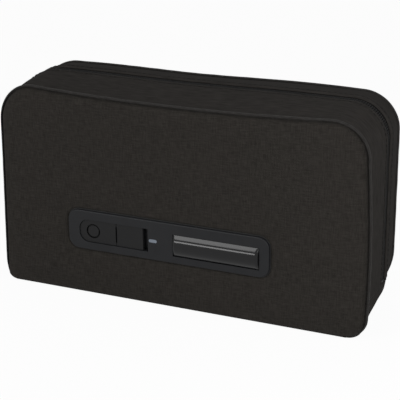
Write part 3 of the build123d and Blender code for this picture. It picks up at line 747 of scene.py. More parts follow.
def panel_rows(seam, side, places, depth, pillow=True):
    """Points of a panel's layer, depth behind its canvas face, in three dimensions."""
    x, z = places[..., 0], places[..., 1]
    height = np.full(x.shape, panel_crown - depth)
    if pillow:
        share = np.clip(rim_distance(seam, x, z) / rim_round, 0, 1)
        height = (panel_crown + rim_tuck) * np.sqrt(1 - (1 - share) ** 2) - rim_tuck
        share = np.clip(z / base_round, 0, 1)
        height = np.minimum(height, (panel_crown + base_tuck) * np.sqrt(1 - (1 - share) ** 2) - base_tuck)
    y = seam["y"] + side * (height + bulge(seam, x, z))
    return in_space(places, y)


print("crown", panel_crown, "mm")

# %% [markdown]
# The front grid has a hole for the module, and its lines are finest where the cloth turns: at the
# rim, the base and the bezel. The rear grid is the same without the hole.

# %% Grids of the two panels
base_level = 0.05
rim_step, bottom_step, hole_step, front_step, rear_step = 0.4, 0.3, 0.45, 3.2, 3.6
hole_columns, hole_levels = 42, 9


def past_hole(start, hole, stop, count, steps):
    """Numbers from start to stop, with count of them over the hole.

    The four steps are the one at the start, the widest, the one beside the hole and the one at the stop.
    """
    first, middle, beside, last = steps
    return np.concatenate([spaced(start, hole[0], first, middle, beside),
                           np.linspace(*hole, count)[1:-1],
                           spaced(hole[1], stop, beside, middle, last)])


def hole_cells(columns, levels, across, up):
    """Which cells of a grid lie in a hole that reaches across and up."""
    in_x = (columns[:-1] >= across[0] - 1e-6) & (columns[1:] <= across[1] + 1e-6)
    in_z = (levels[:-1] >= up[0] - 1e-6) & (levels[1:] <= up[1] + 1e-6)
    return in_z[:, None] & in_x[None, :]


edge_x = front_seam["half_base"] - rim_inset
front_columns = past_hole(-edge_x, hole_x, edge_x, hole_columns,
                          (rim_step, front_step, hole_step, rim_step))
front_levels = past_hole(base_level, hole_z, front_seam["height"] - rim_inset, hole_levels,
                         (bottom_step, front_step, hole_step, rim_step))
front_places = panel_places(front_seam, front_columns, front_levels, rim_inset)
front_hole = hole_cells(front_columns, front_levels, hole_x, hole_z)
rear_edge_x = rear_seam["half_base"] - rim_inset
rear_columns = spaced(-rear_edge_x, rear_edge_x, rim_step, rear_step, rim_step)
rear_levels = spaced(base_level, rear_seam["height"] - rim_inset, bottom_step, rear_step, rim_step)
rear_places = panel_places(rear_seam, rear_columns, rear_levels, rim_inset)
print("front grid", front_places.shape, "rear grid", rear_places.shape)

# %% [markdown]
# The foam pushes the canvas out and the seam holds it back, which leaves the soft unevenness of a
# padded bag. A coarse sheet, held at its rim and at the module and pressed from behind, settles
# into that shape. The fine panel then takes its unevenness from the coarse sheet.

# %% Fullness from a cloth simulation
fill_pressure = 3.0
fill_frames = 24
fill_most = 1.5
coarse_step = 5.0
first_wave, first_wave_length = 0.25, 18.0
canvas_settings = {"quality": 8, "mass": 0.25, "tension_stiffness": 40, "compression_stiffness": 40,
                   "shear_stiffness": 20, "bending_stiffness": 4.0, "vertex_group_mass": "held",
                   "shrink_min": -0.006, "use_pressure": True, "uniform_pressure_force": fill_pressure}


def settled_fullness(seam, side, places, around_module):
    """How far the pressed canvas stands out at each place, in millimetres."""
    half, height = seam["half_base"] - rim_inset, seam["height"] - rim_inset
    columns = np.linspace(-half, half, int(2 * half / coarse_step) + 1)
    levels = np.linspace(rim_inset, height, int(height / coarse_step) + 1)
    coarse = panel_places(seam, columns, levels, rim_inset)
    x, z = coarse[..., 0], coarse[..., 1]
    rows = in_space(coarse, seam["y"])
    rows[..., 1] += first_wave * ripple(rows, first_wave_length, seed=5.0)
    sheet = grid_piece("coarse_sheet", rows, flip=side > 0)
    held = np.zeros(x.shape, bool)
    held[[0, -1], :] = held[:, [0, -1]] = True
    if around_module:
        held |= outside_bezel(x, z) < coarse_step / 2
    group = sheet.vertex_groups.new(name="held")
    group.add(np.flatnonzero(held.ravel()).tolist(), 1.0, "REPLACE")
    cloth = sheet.modifiers.new("canvas", "CLOTH")
    for key, value in canvas_settings.items():
        setattr(cloth.settings, key, value)
    cloth.settings.effector_weights.gravity = 0.0
    cloth.collision_settings.use_collision = False
    cloth.point_cache.frame_start = 1
    cloth.point_cache.frame_end = fill_frames
    for frame_number in range(1, fill_frames + 1):
        bpy.context.scene.frame_set(frame_number)
    graph = bpy.context.evaluated_depsgraph_get()
    moved = sheet.evaluated_get(graph).to_mesh()
    settled = np.empty(len(moved.vertices) * 3, np.float32)
    moved.vertices.foreach_get("co", settled)
    out = side * (settled.reshape(*x.shape, 3)[..., 1] / mm - seam["y"])
    bpy.context.scene.frame_set(1)
    bpy.data.objects.remove(sheet)
    print("fullness", round(float(out.min()), 3), "to", round(float(out.max()), 3), "mm")
    out = np.clip(out, -fill_most, fill_most)
    return sample_grid(out, columns, levels, places)


def sample_grid(values, columns, levels, places):
    """The coarse values at finer places, by straight lines between its points."""
    column = np.clip(np.interp(places[..., 0], columns, np.arange(len(columns))), 0, len(columns) - 1.001)
    level = np.clip(np.interp(places[..., 1], levels, np.arange(len(levels))), 0, len(levels) - 1.001)
    c, r = column.astype(int), level.astype(int)
    fc, fr = smooth(column - c), smooth(level - r)
    low = values[r, c] * (1 - fc) + values[r, c + 1] * fc
    high = values[r + 1, c] * (1 - fc) + values[r + 1, c + 1] * fc
    return low * (1 - fr) + high * fr


front_fullness = settled_fullness(front_seam, -1, front_places, True)
rear_fullness = settled_fullness(rear_seam, 1, rear_places, False)

# %% [markdown]
# The front and rear canvas take their fullness from the coarse sheets, but not where they are held:
# it fades out towards the seam, the base and the bezel, where the front canvas dips to be clamped.
# The front canvas turns with the fold along its lower edge.
# The base is flat over its board.

# %% Front, rear and base canvas
dip_width, dip_depth = 1.4, 1.6
held_reach = 6.0
bezel_margin = 0.5
base_lap = 0.1
base_columns, base_lines = 60, 24


def free_share(seam, places):
    """0 where a panel is held at its rim or its base, and 1 from a short way off."""
    x, z = places[..., 0], places[..., 1]
    return smooth(np.minimum(rim_distance(seam, x, z), z) / held_reach)


front_rows = panel_rows(front_seam, -1, front_places, 0)
from_bezel = outside_bezel(front_places[..., 0], front_places[..., 1])
front_rows[..., 1] += dip_depth * (1 - smooth(from_bezel / dip_width))
front_free = free_share(front_seam, front_places) * smooth((from_bezel - bezel_margin) / held_reach)
front_rows[..., 1] -= front_fullness * front_free
front_canvas = thicken(grid_piece("front_canvas", front_rows, skip=front_hole,
                                  place=front_places * mm), cloth_thickness)
dress(front_canvas, canvas, "canvas", None, "front_panel", "front_foam")
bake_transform(front_canvas)

rear_rows = panel_rows(rear_seam, 1, rear_places, 0)
rear_rows[..., 1] += rear_fullness * free_share(rear_seam, rear_places)
rear_canvas = grid_piece("rear_canvas", rear_rows, flip=True, place=rear_places * mm)
rear_canvas = thicken(rear_canvas, cloth_thickness)
dress(rear_canvas, canvas, "canvas", "rear_half", "rear_panel", "rear_foam")

base_shares = np.linspace(-1, 1, base_columns)
base_depths = np.linspace(front_seam["y"] - base_lap, rear_seam["y"] + base_lap, base_lines)
base_y = np.repeat(base_depths[:, None], base_columns, axis=1)
base_curves = []
for seam in seams:
    reach = [seam["half_base"] - seam["low_corners"][side] for side in (-1, 1)]
    base_curves.append(np.stack([base_shares * np.where(base_shares < 0, *reach), 0 * base_shares], axis=-1))
base_rows = in_space(between(base_curves, base_y), base_y)
base_canvas = thicken(grid_piece("base_canvas", base_rows, flip=True), cloth_thickness)
dress(base_canvas, canvas, "canvas", "rear_half", "base_panel")
declare_sheet(base_rows)

# %% [markdown]
# The gusset is one smooth cloth strip on each side of the zip. It is sewn into the welted seam at
# one edge and folded back along the zip at the other, which leaves a soft ridge beside the teeth.
# Foam pushes it out a little between the two.

# %% Gussets
zip_opening = 8.0
zip_front = zip_line["y"] - zip_opening / 2
zip_rear = zip_line["y"] + zip_opening / 2
gusset_lap = 0.15
seam_lap = 1.2
fold_reach = 0.35
gusset_crown = 0.2
gusset_wave, gusset_wave_length = 0.5, 26.0
seam_step, strip_step, zip_step = 0.5, 2.4, 0.25
ridge_height = 0.35
ridge_place = 1.3
ridge_width = 0.8
fold_drop = 0.7
fold_width = 0.7


def over_curves(inset, low):
    """The stretches of all three outlines over the top, from the level low."""
    return [over_top(seam, inset, low, strip_columns) for seam in seams]


def gusset_rows(seam, side, zip_edge, curves):
    """Points of the gusset between one seam and the zip, with its crown and folded edge."""
    x, z = np.moveaxis(curves[0 if side < 0 else 2], -1, 0)
    seam_y = seam["y"] + side * (bulge(seam, x, z) - seam_lap)
    width = abs(zip_edge - (seam["y"] - side * seam_lap))
    shares = (spaced(0, width, seam_step, strip_step, zip_step) / width)[:, None]
    y = seam_y + (zip_edge - seam_y) * shares
    from_zip = np.abs(y - zip_edge)
    lift = 4 * gusset_crown * shares * (1 - shares)
    lift = lift + ridge_height * np.exp(-((from_zip - ridge_place) / ridge_width) ** 2)
    lift = lift - fold_drop * (1 - smooth(from_zip / fold_width))
    places = between(curves, y)
    wave = ripple(in_space(places, y), gusset_wave_length, seed=3.0 + side) * np.sin(np.pi * shares)
    return lifted(places, y, lift + gusset_wave * wave)


gusset_curves = over_curves(0.0, web_height + gusset_lap)
for name, seam, side, edge, body in (("front_gusset", front_seam, -1, zip_front, "front_half"),
                                     ("rear_gusset", rear_seam, 1, zip_rear, "rear_half")):
    rows = gusset_rows(seam, side, edge - side * fold_reach, gusset_curves)
    strip = thicken(grid_piece(name + "_cloth", rows, flip=side < 0), cloth_thickness)
    dress(strip, twill, "gusset_cloth", body, name)
    declare_sheet(rows)

# %% [markdown]
# Below the zip's two ends a web of the same cloth closes the corner, from seam to seam. When the mouth opens,
# it is what folds between the halves.

# %% Webs
fold_height = 3.0
web_lap = 0.2
web_points, web_edge_step, web_middle_step = 40, 1.0, 1.2
web_base_lap, web_lap_height = 2.0, 2.0
web_crown, web_wave, web_wave_length = 0.5, 0.6, 14.0
web_depths = np.concatenate([
    spaced(front_seam["y"] + seam_lap, zip_line["y"], web_edge_step, strip_step, web_middle_step)[:-1],
    spaced(zip_line["y"], rear_seam["y"] - seam_lap, web_middle_step, strip_step, web_edge_step)])[:, None]
web_shares = (web_depths - web_depths[0]) / (web_depths[-1] - web_depths[0])
web_arch = np.sin(np.pi * web_shares) * np.sin(np.pi * np.linspace(0, 1, web_points))
for name, side in (("left_web", -1), ("right_web", 1)):
    corners = [round_corner(seam, 0.0, web_base_lap, web_height, side, web_points) for seam in seams]
    lap = web_lap + (seam_lap - web_lap) * smooth((corners[0][:, 1] - fold_height) / web_lap_height)
    y = web_depths + (lap - seam_lap) * (1 - web_shares)
    places = between(corners, y)
    wave = web_wave * ripple(in_space(places, y), web_wave_length, seed=9.0)
    rows = lifted(places, y, side * (web_crown + wave) * web_arch)
    web = thicken(grid_piece(name + "_cloth", rows, flip=side > 0), cloth_thickness)
    dress(web, twill, "gusset_cloth", None, name)
    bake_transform(web)
    declare_sheet(rows)

# %% [markdown]
# Each seam is finished by a welt: a thin cord wrapped in a strip of the gusset cloth. It is a
# tube swept round the case, along the bowed seam. Where the base folds under, its two ends dive
# below the canvas.

# %% Welts
welt_radius = 0.65
welt_depth = 1.15
welt_inset = -0.45
welt_sides = 12
welt_start, welt_points = 0.3, 320
welt_gap = 0.05
welt_wave, welt_wave_length = 0.12, 9.0
welt_dive = 1.3
welt_dive_height = 10.0


def tube_piece(name, centre, side_way):
    """A welt along points in millimetres; side_way is the outward direction at each point."""
    other = unit(np.cross(unit(np.gradient(centre, axis=0)), side_way))
    angles = np.linspace(0, 2 * np.pi, welt_sides + 1)[:, None, None]
    rows = centre + welt_radius * np.cos(angles) * side_way + welt_depth * np.sin(angles) * other
    return grid_piece(name, rows, flip=True), rows


for name, seam, side, body in (("front_piping", front_seam, -1, "front_half"),
                               ("rear_piping", rear_seam, 1, "rear_half")):
    line = over_top(seam, welt_inset, fold_height + welt_start, welt_points)
    x, z = line[:, 0], line[:, 1]
    centre = in_space(line, seam["y"] + side * (bulge(seam, x, z) - welt_depth - welt_gap))
    facing = in_space(outward(line), 0 * x)
    uneven = welt_wave * ripple(centre, welt_wave_length, seed=4.0)[:, None]
    uneven = uneven - welt_dive * (1 - smooth((z - fold_height) / welt_dive_height))[:, None]
    welt, rows = tube_piece(name + "_welt", centre + facing * uneven, facing)
    dress(welt, binding, "piping_cloth", body, name)

# %% [markdown]
# The zip has woven tapes and two rows of interlocking coil turns. A coil turn is a small rounded
# bar across the row, and a stitch is a thinner one along it.

# %% A small rounded bar
bar_rings, bar_sides = 5, 8


def capsule(name, length, width, height):
    """A small rounded bar along X, in millimetres."""
    mesh = bpy.data.meshes.new(name)
    working = bmesh.new()
    bmesh.ops.create_uvsphere(working, u_segments=bar_sides, v_segments=bar_rings, radius=0.5,
                              matrix=Matrix.Rotation(math.pi / 2, 4, "Y"))
    for point in working.verts:
        flat = Vector((point.co.x * length, point.co.y * width, point.co.z * height))
        point.co = flat * mm
    working.to_mesh(mesh)
    working.free()
    mesh.shade_smooth()
    return put_in_scene(name, mesh)


print("a bar has", bar_rings, "rings of", bar_sides, "faces")

# %% [markdown]
# A group of Geometry Nodes sets one bar at every pitch. It divides the row's line, turns each bar to
# the row's direction and its face outwards, and adds a small turn by chance, from a fixed seed. The
# same group makes the teeth and the stitches.

# %% The group that repeats a piece
def repeat_group():
    """The node group that sets one small piece at every pitch along a line."""
    group = bpy.data.node_groups.new("repeat_along", "GeometryNodeTree")
    for name, kind in (("Geometry", "Geometry"), ("Piece", "Object"), ("Pitch", "Float"),
                       ("Turn", "Float"), ("Seed", "Int"), ("Finish", "Material")):
        group.interface.new_socket(name, in_out="INPUT", socket_type="NodeSocket" + kind)
    group.interface.new_socket("Geometry", in_out="OUTPUT", socket_type="NodeSocketGeometry")
    put = group.nodes.new
    start, end = put("NodeGroupInput"), put("NodeGroupOutput")
    curve, split = put("GeometryNodeMeshToCurve"), put("GeometryNodeResampleCurve")
    split.mode = "LENGTH"
    along, facing = put("GeometryNodeInputNamedAttribute"), put("GeometryNodeInputNamedAttribute")
    for reader, name in ((along, "along"), (facing, "facing")):
        reader.data_type = "FLOAT_VECTOR"
        reader.inputs["Name"].default_value = name
    first, second = put("FunctionNodeAlignRotationToVector"), put("FunctionNodeAlignRotationToVector")
    first.axis, second.axis, second.pivot_axis = "X", "Z", "X"
    tilt, spin = put("FunctionNodeRandomValue"), put("FunctionNodeRotateRotation")
    spin.rotation_space = "LOCAL"
    angles, negative = put("ShaderNodeCombineXYZ"), put("ShaderNodeMath")
    negative.operation = "MULTIPLY"
    negative.inputs[1].default_value = -1.0
    source, place = put("GeometryNodeObjectInfo"), put("GeometryNodeInstanceOnPoints")
    real, finish = put("GeometryNodeRealizeInstances"), put("GeometryNodeSetMaterial")
    joins = (
        (start, "Geometry", curve, "Mesh"), (curve, "Curve", split, "Curve"),
        (start, "Pitch", split, "Length"), (along, "Attribute", first, "Vector"),
        (first, "Rotation", second, "Rotation"), (facing, "Attribute", second, "Vector"),
        (start, "Turn", tilt, 3), (start, "Turn", negative, 0), (negative, 0, tilt, 2),
        (start, "Seed", tilt, "Seed"), (tilt, 1, angles, "Z"),
        (second, "Rotation", spin, "Rotation"), (angles, 0, spin, "Rotate By"),
        (start, "Piece", source, "Object"), (split, "Curve", place, "Points"),
        (source, "Geometry", place, "Instance"), (spin, "Rotation", place, "Rotation"),
        (place, "Instances", real, "Geometry"), (real, "Geometry", finish, "Geometry"),
        (start, "Finish", finish, "Material"), (finish, "Geometry", end, "Geometry"),
    )
    for giver, output, taker, socket in joins:
        group.links.new(giver.outputs[output], taker.inputs[socket])
    return group


repeater = repeat_group()
print("the group's sockets", [item.name for item in repeater.interface.items_tree])

# %% [markdown]
# A row is a line over the case at one depth. Its points carry their direction and the outward side
# for the group to read, and the row that comes out is stored as one plain mesh.

# %% Rows over the case
repeat_seed = 11
row_points = 500


def repeat_along(name, line, facing, piece, pitch, turn, material):
    """Sets the piece along a line of points in millimetres and returns one plain mesh."""
    along = unit(np.gradient(line, axis=0))
    mesh = bpy.data.meshes.new(name)
    mesh.from_pydata((line * mm).tolist(), [(i, i + 1) for i in range(len(line) - 1)], [])
    for key, values in (("along", along), ("facing", facing)):
        layer = mesh.attributes.new(key, "FLOAT_VECTOR", "POINT")
        layer.data.foreach_set("vector", values.astype(np.float32).ravel())
    row = put_in_scene(name, mesh)
    modifier = row.modifiers.new("repeat", "NODES")
    modifier.node_group = repeater
    values = {"Piece": piece, "Pitch": pitch * mm, "Turn": turn, "Seed": repeat_seed, "Finish": material}
    for item in repeater.interface.items_tree:
        if item.in_out == "INPUT" and item.name in values:
            modifier[item.identifier] = values[item.name]
    return settle(row)


def line_over(depth, inset, low):
    """A line over the case at one depth, with the outward direction at each point."""
    curves = [over_top(seam, inset, low, row_points) for seam in seams]
    places = between(curves, np.full((1, row_points), float(depth)))[0]
    return in_space(places, depth), in_space(outward(places), 0.0)


print("a row's line has", row_points, "points")

# %% [markdown]
# The coil of each tape is a row of turns that mesh with the other row's, so the two rows meet in
# the zip's middle. The stitches hold the gussets' folded edges down on the tapes.

# %% Rows of teeth and stitches
tooth_pitch, tooth_turn = 1.35, 0.03
tooth_rise, tooth_start = 0.55, 0.4
stitch_pitch, stitch_turn = 3.2, 0.05
stitch_gap, stitch_inset, stitch_start = 2.6, -0.42, 2.0
coil_low, coil_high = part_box("front_zip_coil")
rear_coil_low, rear_coil_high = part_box("rear_zip_coil")
coil_inset = zip_line["half_base"] - coil_high.x / mm
tooth = capsule("tooth_shape", length=0.95, width=2.5, height=1.5)
for name, low, high, body in (("front_zip_coil", coil_low, coil_high, "front_half"),
                              ("rear_zip_coil", rear_coil_low, rear_coil_high, "rear_half")):
    middle_y = (low.y + high.y) / 2 / mm
    line, facing = line_over(middle_y, coil_inset + tooth_rise, web_height - tooth_start)
    teeth = repeat_along(name + "_teeth", line, facing, tooth, tooth_pitch, tooth_turn, plain["coil"])
    dress(teeth, plain["coil"], "zip_coil", body, name)
bpy.data.objects.remove(tooth)

stitch = capsule("stitch_shape", length=2.5, width=0.42, height=0.36)
thread = moulded_finish("thread", (0.012, 0.012, 0.012), (0.022, 0.021, 0.020), 0.6, 0.2 * mm, 0.02 * mm,
                        Specular_IOR_Level=0.05)
for name, depth, body in (("front_gusset_stitches", zip_front - stitch_gap, "front_half"),
                          ("rear_gusset_stitches", zip_rear + stitch_gap, "rear_half")):
    line, facing = line_over(depth, stitch_inset, web_height + stitch_start)
    stitches = repeat_along(name, line, facing, stitch, stitch_pitch, stitch_turn, thread)
    dress(stitches, thread, "gusset_cloth", body)
bpy.data.objects.remove(stitch)

# %% [markdown]
# The two tapes lie under the gussets' folded edges and carry the teeth. Each is ribbed along its
# length, flat, and just deep enough to leave a dark groove beside the teeth.

# %% Zip tapes
tape_inset = 1.0
tape_thickness = 0.5
tape_width = 10.3
tape_start, tape_gap, tape_lines = 1.2, 0.05, 9
tape_curves = over_curves(tape_inset, web_height - tape_start)
for name, side, coil_edge, body in (("front_zip_tape", -1, coil_low.y / mm, "front_half"),
                                    ("rear_zip_tape", 1, rear_coil_high.y / mm, "rear_half")):
    depths = np.linspace(zip_line["y"] + side * tape_gap, coil_edge + side * tape_width, tape_lines)
    depths = depths if side > 0 else depths[::-1]
    y = np.repeat(depths[:, None], strip_columns, axis=1)
    rows = in_space(between(tape_curves, y), y)
    tape = thicken(grid_piece(name + "_cloth", rows, flip=True), tape_thickness)
    dress(tape, zip_cloth, "zip_tape", body, name)
    declare_sheet(rows)

# %% [markdown]
# The lining is a silver coated cloth that throws the light back into the chamber. The front half
# has a panel with a cut-out for the module's frame. The rear half has the same without the cut-out.

# %% Lining of the two panels
lining_depth = 4.1
lining_edge = 2.5
lining_inset = 2.5
lining_thickness = 0.4
frame_gap = 0.8
frame_x = (frame_low.x / mm - frame_gap, frame_high.x / mm + frame_gap)
frame_z = (frame_low.z / mm - frame_gap, frame_high.z / mm + frame_gap)
fold_gap = 1.2
soft_lift, panel_wave_length, lining_reach = 0.5, 22.0, 8.0
panel_steps = (2.0, 5.0, 2.0)
frame_columns, frame_levels = 30, 10


def lining_panel(name, seam, side, columns, levels, hole, body, node):
    """The lining behind a padded panel, with a hole where one is given."""
    places = panel_places(seam, columns, levels, lining_edge)
    rows = panel_rows(seam, side, places, lining_depth, pillow=False)
    edge = distance_to(whole_outline(seam, lining_edge), places[..., 0], places[..., 1])
    rows[..., 1] += soft_lift * ripple(rows, panel_wave_length, seed=6.0 * side) * smooth(edge / lining_reach)
    piece = grid_piece(name, rows, flip=side < 0, skip=hole, place=places * mm)
    piece = dress(thicken(piece, lining_thickness), foil, "lining_foil", body, node)
    cut_out = 0.0 if hole is None else (frame_x[1] - frame_x[0]) * (frame_z[1] - frame_z[0]) * mm * mm
    declare_sheet(rows, cut_out)


front_half_x = front_seam["half_base"] - lining_edge
lined_columns = past_hole(-front_half_x, frame_x, front_half_x, frame_columns,
                          (*panel_steps, panel_steps[-1]))
lined_levels = past_hole(fold_height + fold_gap, frame_z, front_seam["height"] - lining_edge,
                         frame_levels, (*panel_steps, panel_steps[-1]))
lining_panel("front_lining_panel", front_seam, -1, lined_columns, lined_levels,
             hole_cells(lined_columns, lined_levels, frame_x, frame_z), "front_half", "front_lining")
rear_half_x = rear_seam["half_base"] - lining_edge
lining_panel("rear_lining_panel", rear_seam, 1, spaced(-rear_half_x, rear_half_x, *panel_steps),
             spaced(lining_edge, rear_seam["height"] - lining_edge, *panel_steps), None,
             "rear_half", "rear_lining")

# %% [markdown]
# The strips line the sides and the top under the gussets. The base has its own piece of lining,
# which climbs the two low corners and lies on the board.

# %% Lining of the sides and the base
strip_edge, strip_gap, strip_lines = 2.4, 1.2, 9
strip_start, tray_start = 0.5, -0.5
strip_wave_length, tray_wave_length, tray_rise = 16.0, 20.0, 0.3
tray_lines, tray_base_points, tray_corner_points, tray_gap = 20, 26, 30, 1.0


def lining_strip(name, curves, side, y_from, y_to, body, node):
    """The lining under a gusset, from the zip's edge to the panel's lining."""
    shares = np.linspace(0, 1, strip_lines)[:, None]
    x, z = np.moveaxis(curves[0 if side < 0 else 2], -1, 0)
    seam = front_seam if side < 0 else rear_seam
    y = y_from + (y_to + side * bulge(seam, x, z) - y_from) * shares
    places = between(curves, y)
    lift = soft_lift * ripple(in_space(places, y), strip_wave_length, seed=2.0) * np.sin(np.pi * shares)
    rows = lifted(places, y, -lift)
    strip = thicken(grid_piece(name, rows, flip=side > 0), lining_thickness)
    dress(strip, foil, "lining_foil", body, node)
    declare_sheet(rows)


lining_curves = over_curves(lining_inset, web_height + strip_start)
lining_strip("front_lining_strip", lining_curves, -1, zip_front - strip_gap,
             front_seam["y"] + strip_edge, "front_half", "front_lining")
lining_strip("rear_lining_strip", lining_curves, 1, zip_rear + strip_gap,
             rear_seam["y"] - strip_edge, "rear_half", "rear_lining")

tray_depths = np.linspace(front_seam["y"] + lining_depth + tray_gap, rear_seam["y"] - strip_edge, tray_lines)
tray_curves = []
for seam in seams:
    halves = []
    for side in (1, -1):
        corner = round_corner(seam, lining_inset, web_base_lap, web_height + tray_start, side,
                              tray_corner_points)
        halves.append(np.vstack([run((0, lining_inset), corner[0], tray_base_points), corner]))
    tray_curves.append(np.vstack([halves[0][::-1], halves[1][1:]]))
tray_y = np.repeat(tray_depths[:, None], len(tray_curves[0]), axis=1)
tray_rows = in_space(between(tray_curves, tray_y), tray_y)
tray_rows[..., 2] += tray_rise * (1 + ripple(tray_rows, tray_wave_length, seed=8.0))
tray = thicken(grid_piece("rear_lining_base", tray_rows, flip=True), lining_thickness)
dress(tray, foil, "lining_foil", "rear_half", "rear_lining")
declare_sheet(tray_rows)

# %% [markdown]
# The window is one smoked moulding with a bulged face. The face is a mirror for the lamps, so it is
# drawn with many fine steps: across its height the bulge follows a power curve, flat in the middle
# and steeper at the edges, and it falls away in a short round at both ends.

# %% Window lens
lens_low, lens_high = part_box("window_lens")
lens_flange = 1.1
lens_bulge = 2.25
lens_reveal = 0.4
lens_power = 2.5
lens_end_round = 1.6
lens_steps, lens_end_step, lens_middle_step = 56, 0.12, 1.4
lens_sharp_angle = 35


def lens_piece(name):
    """A closed bar whose front bulges, with its back at the node's back."""
    half_z = (lens_high.z - lens_low.z) / 2 / mm - lens_flange
    left, right = lens_low.x / mm + lens_flange, lens_high.x / mm - lens_flange
    middle_z, back_y = (lens_low.z + lens_high.z) / 2 / mm, lens_high.y / mm
    edge_y = bezel_low.y / mm + lens_reveal
    heights = np.linspace(-1, 1, lens_steps)
    rings = []
    for x in spaced(left, right, lens_end_step, lens_middle_step, lens_end_step):
        end = np.clip(min(x - left, right - x) / lens_end_round, 0, 1)
        bulge_here = lens_bulge * math.sqrt(1 - (1 - end) ** 2)
        ring = [(x, edge_y - bulge_here * (1 - abs(t) ** lens_power), middle_z + half_z * t) for t in heights]
        rings.append(ring + [(x, back_y, middle_z + half_z), (x, back_y, middle_z - half_z)])
    count = len(rings[0])
    faces = [tuple(range(count)), tuple(range(count * len(rings) - 1, count * (len(rings) - 1) - 1, -1))]
    for k in range(len(rings) - 1):
        for i in range(count):
            a, b = k * count + i, k * count + (i + 1) % count
            faces.append((b, a, a + count, b + count))
    mesh = bpy.data.meshes.new(name)
    mesh.from_pydata((np.array(rings).reshape(-1, 3) * mm).tolist(), [], faces)
    mesh.shade_smooth()
    mesh.set_sharp_from_angle(angle=math.radians(lens_sharp_angle))
    return put_in_scene(name, mesh)


dress(lens_piece("clear_window"), plain["window"], "window_clear", "front_half", "window_lens")

# %% [markdown]
# The hard parts come from the frame as they are, because their shapes are already true. Each gets
# the finish of its own material.

# %% Finishes of the hard parts
finishes = {
    "bezel": "bezel", "control_pad": "pad", "power_button": "pad", "port_flap": "pad", "light_pipe": "light",
    "zip_slider": "enamel", "zip_pull": "enamel", "zip_stops": "enamel",
    "base_board": "stiff", "gasket": "seal", "backing_frame": "housing", "module_housing": "housing",
    "lamp_holders": "steel", "lamp_guard": "steel", "uv_lamp": "tube", "quartz_plate": "quartz",
    "lamp_caps": "cap", "reflector": "mirror", "circuit_board": "board", "tact_switch": "chip",
    "lamp_transformer": "chip", "status_led": "led", "battery_cell": "wrap", "usb_receptacle": "steel",
    "housing_screws": "screw",
}
for node, key in finishes.items():
    piece = bpy.data.objects[node]
    piece.data.materials.clear()
    piece.data.materials.append(plain[key])
print("finished", len(finishes), "hard parts")

# %% [markdown]
# The photograph shows the pouch from the front right and a little above. The camera stands where
# the outline, the seams and the zip of the picture come out in their places.

# %% Camera
picture_width = 400
focal_pixels = 1321.84
camera_azimuth, camera_elevation = math.radians(23.8028), math.radians(20.8756)
camera_yaw, camera_pitch, camera_roll = (math.radians(a) for a in (-0.21587, 0.05772, -0.57824))
camera_distance = 0.791676
target = Vector((0, 0, 0.059))


def towards_viewer(azimuth, elevation):
    """The direction from the pouch to a viewer, with the angles in radians."""
    return Vector((math.sin(azimuth) * math.cos(elevation), -math.cos(azimuth) * math.cos(elevation),
                   math.sin(elevation)))


camera_data = bpy.data.cameras.new("camera")
camera_data.sensor_width = 36.0
camera_data.lens = focal_pixels / picture_width * camera_data.sensor_width
camera_data.clip_start = 0.01
camera = put_in_scene("camera", camera_data)
back = towards_viewer(camera_azimuth + camera_yaw, camera_elevation + camera_pitch)
right = Vector((0, 0, 1)).cross(back).normalized()
up = back.cross(right)
turned_right = math.cos(camera_roll) * right + math.sin(camera_roll) * up
turned_up = -math.sin(camera_roll) * right + math.cos(camera_roll) * up
camera.matrix_world = Matrix.Translation(target + camera_distance * towards_viewer(
    camera_azimuth, camera_elevation)) @ Matrix((turned_right, turned_up, back)).transposed().to_4x4()
bpy.context.scene.camera = camera
print("lens", round(camera_data.lens, 2))

# %% [markdown]
# A product photograph on white has large soft boxes. The bulged window is a mirror for them, so
# their places come from its streaks: a broad box high on the left, and a thin one low in front. A
# small one on the right brightens the gusset.

# %% Lights
def soft_box(name, azimuth, elevation, distance, width, height, power):
    """A lamp that faces the pouch: angles in degrees, sizes in metres, power in watts."""
    data = bpy.data.lights.new(name, "AREA")
    data.shape = "RECTANGLE"
    data.size, data.size_y, data.energy = width, height, power
    box = put_in_scene(name, data)
    way = towards_viewer(math.radians(azimuth), math.radians(elevation))
    box.location = target + distance * way
    box.rotation_euler = way.to_track_quat("Z", "Y").to_euler()


soft_box("key_box", -28, 35, 1.3, 0.42, 0.60, 4.4)
soft_box("low_box", -24, 5, 1.3, 0.42, 0.20, 2.5)
soft_box("right_box", 50, 25, 0.5, 0.25, 0.30, 1.0)
print("three soft boxes")

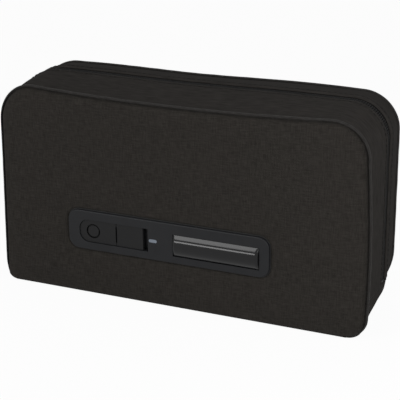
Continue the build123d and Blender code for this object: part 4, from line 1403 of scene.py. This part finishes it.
# %% [markdown]
# The background is white where it is seen, but gives less light than white would, so that the dark
# cloth stays dark. The floor glows white where it is seen, with a little matt white that keeps a
# faint shadow under the pouch, and it is plain matt white for all other light.

# %% Background and floor
world_light = 0.45
floor_glow = 0.95
floor_half = 4.0
floor_drop = 0.0002


def seen_or_mirrored(finish):
    """1 for what the camera, a mirror or a clear part shows, 0 for what only lights the object."""
    camera_ray, glossy_ray, clear_ray = (finish.node("ShaderNodeLightPath", output="Is " + kind + " Ray")
                                         for kind in ("Camera", "Glossy", "Transmission"))
    return finish.maths("MAXIMUM", finish.maths("MAXIMUM", camera_ray, glossy_ray), clear_ray)


def background():
    """White where it is seen, and a soft grey light elsewhere."""
    sky = Finish("studio", bpy.data.worlds.new("studio"))
    bpy.context.scene.world = sky.owner
    level = sky.node("ShaderNodeMapRange", {},
                     {"Value": seen_or_mirrored(sky), "To Min": world_light, "To Max": 1.0})
    shade = sky.node("ShaderNodeBackground", {}, {"Color": (1, 1, 1, 1), "Strength": level})
    sky.node("ShaderNodeOutputWorld", {}, {"Surface": shade})


def floor_finish():
    """Pale floor that is seen as white and still keeps a faint shadow."""
    finish = Finish("floor")
    glow = finish.node("ShaderNodeEmission", {}, {"Strength": 1.0})
    matt = finish.node("ShaderNodeBsdfDiffuse", {}, {"Color": (0.8, 0.8, 0.8, 1)})
    share = seen_or_mirrored(finish) * floor_glow
    mix = finish.node("ShaderNodeMixShader", {}, {0: share, 1: matt, 2: glow})
    finish.node("ShaderNodeOutputMaterial", {}, {"Surface": mix})
    return finish.owner


background()
floor_mesh = bpy.data.meshes.new("floor")
floor_corners = [(x * floor_half, y * floor_half, 0) for x, y in ((-1, -1), (1, -1), (1, 1), (-1, 1))]
floor_mesh.from_pydata(floor_corners, [], [(0, 1, 2, 3)])
floor_mesh.materials.append(floor_finish())
floor = put_in_scene("floor", floor_mesh)
floor.location.z = -floor_drop
bpy.context.scene.view_settings.view_transform = "Standard"
print("floor", tuple(floor.dimensions))
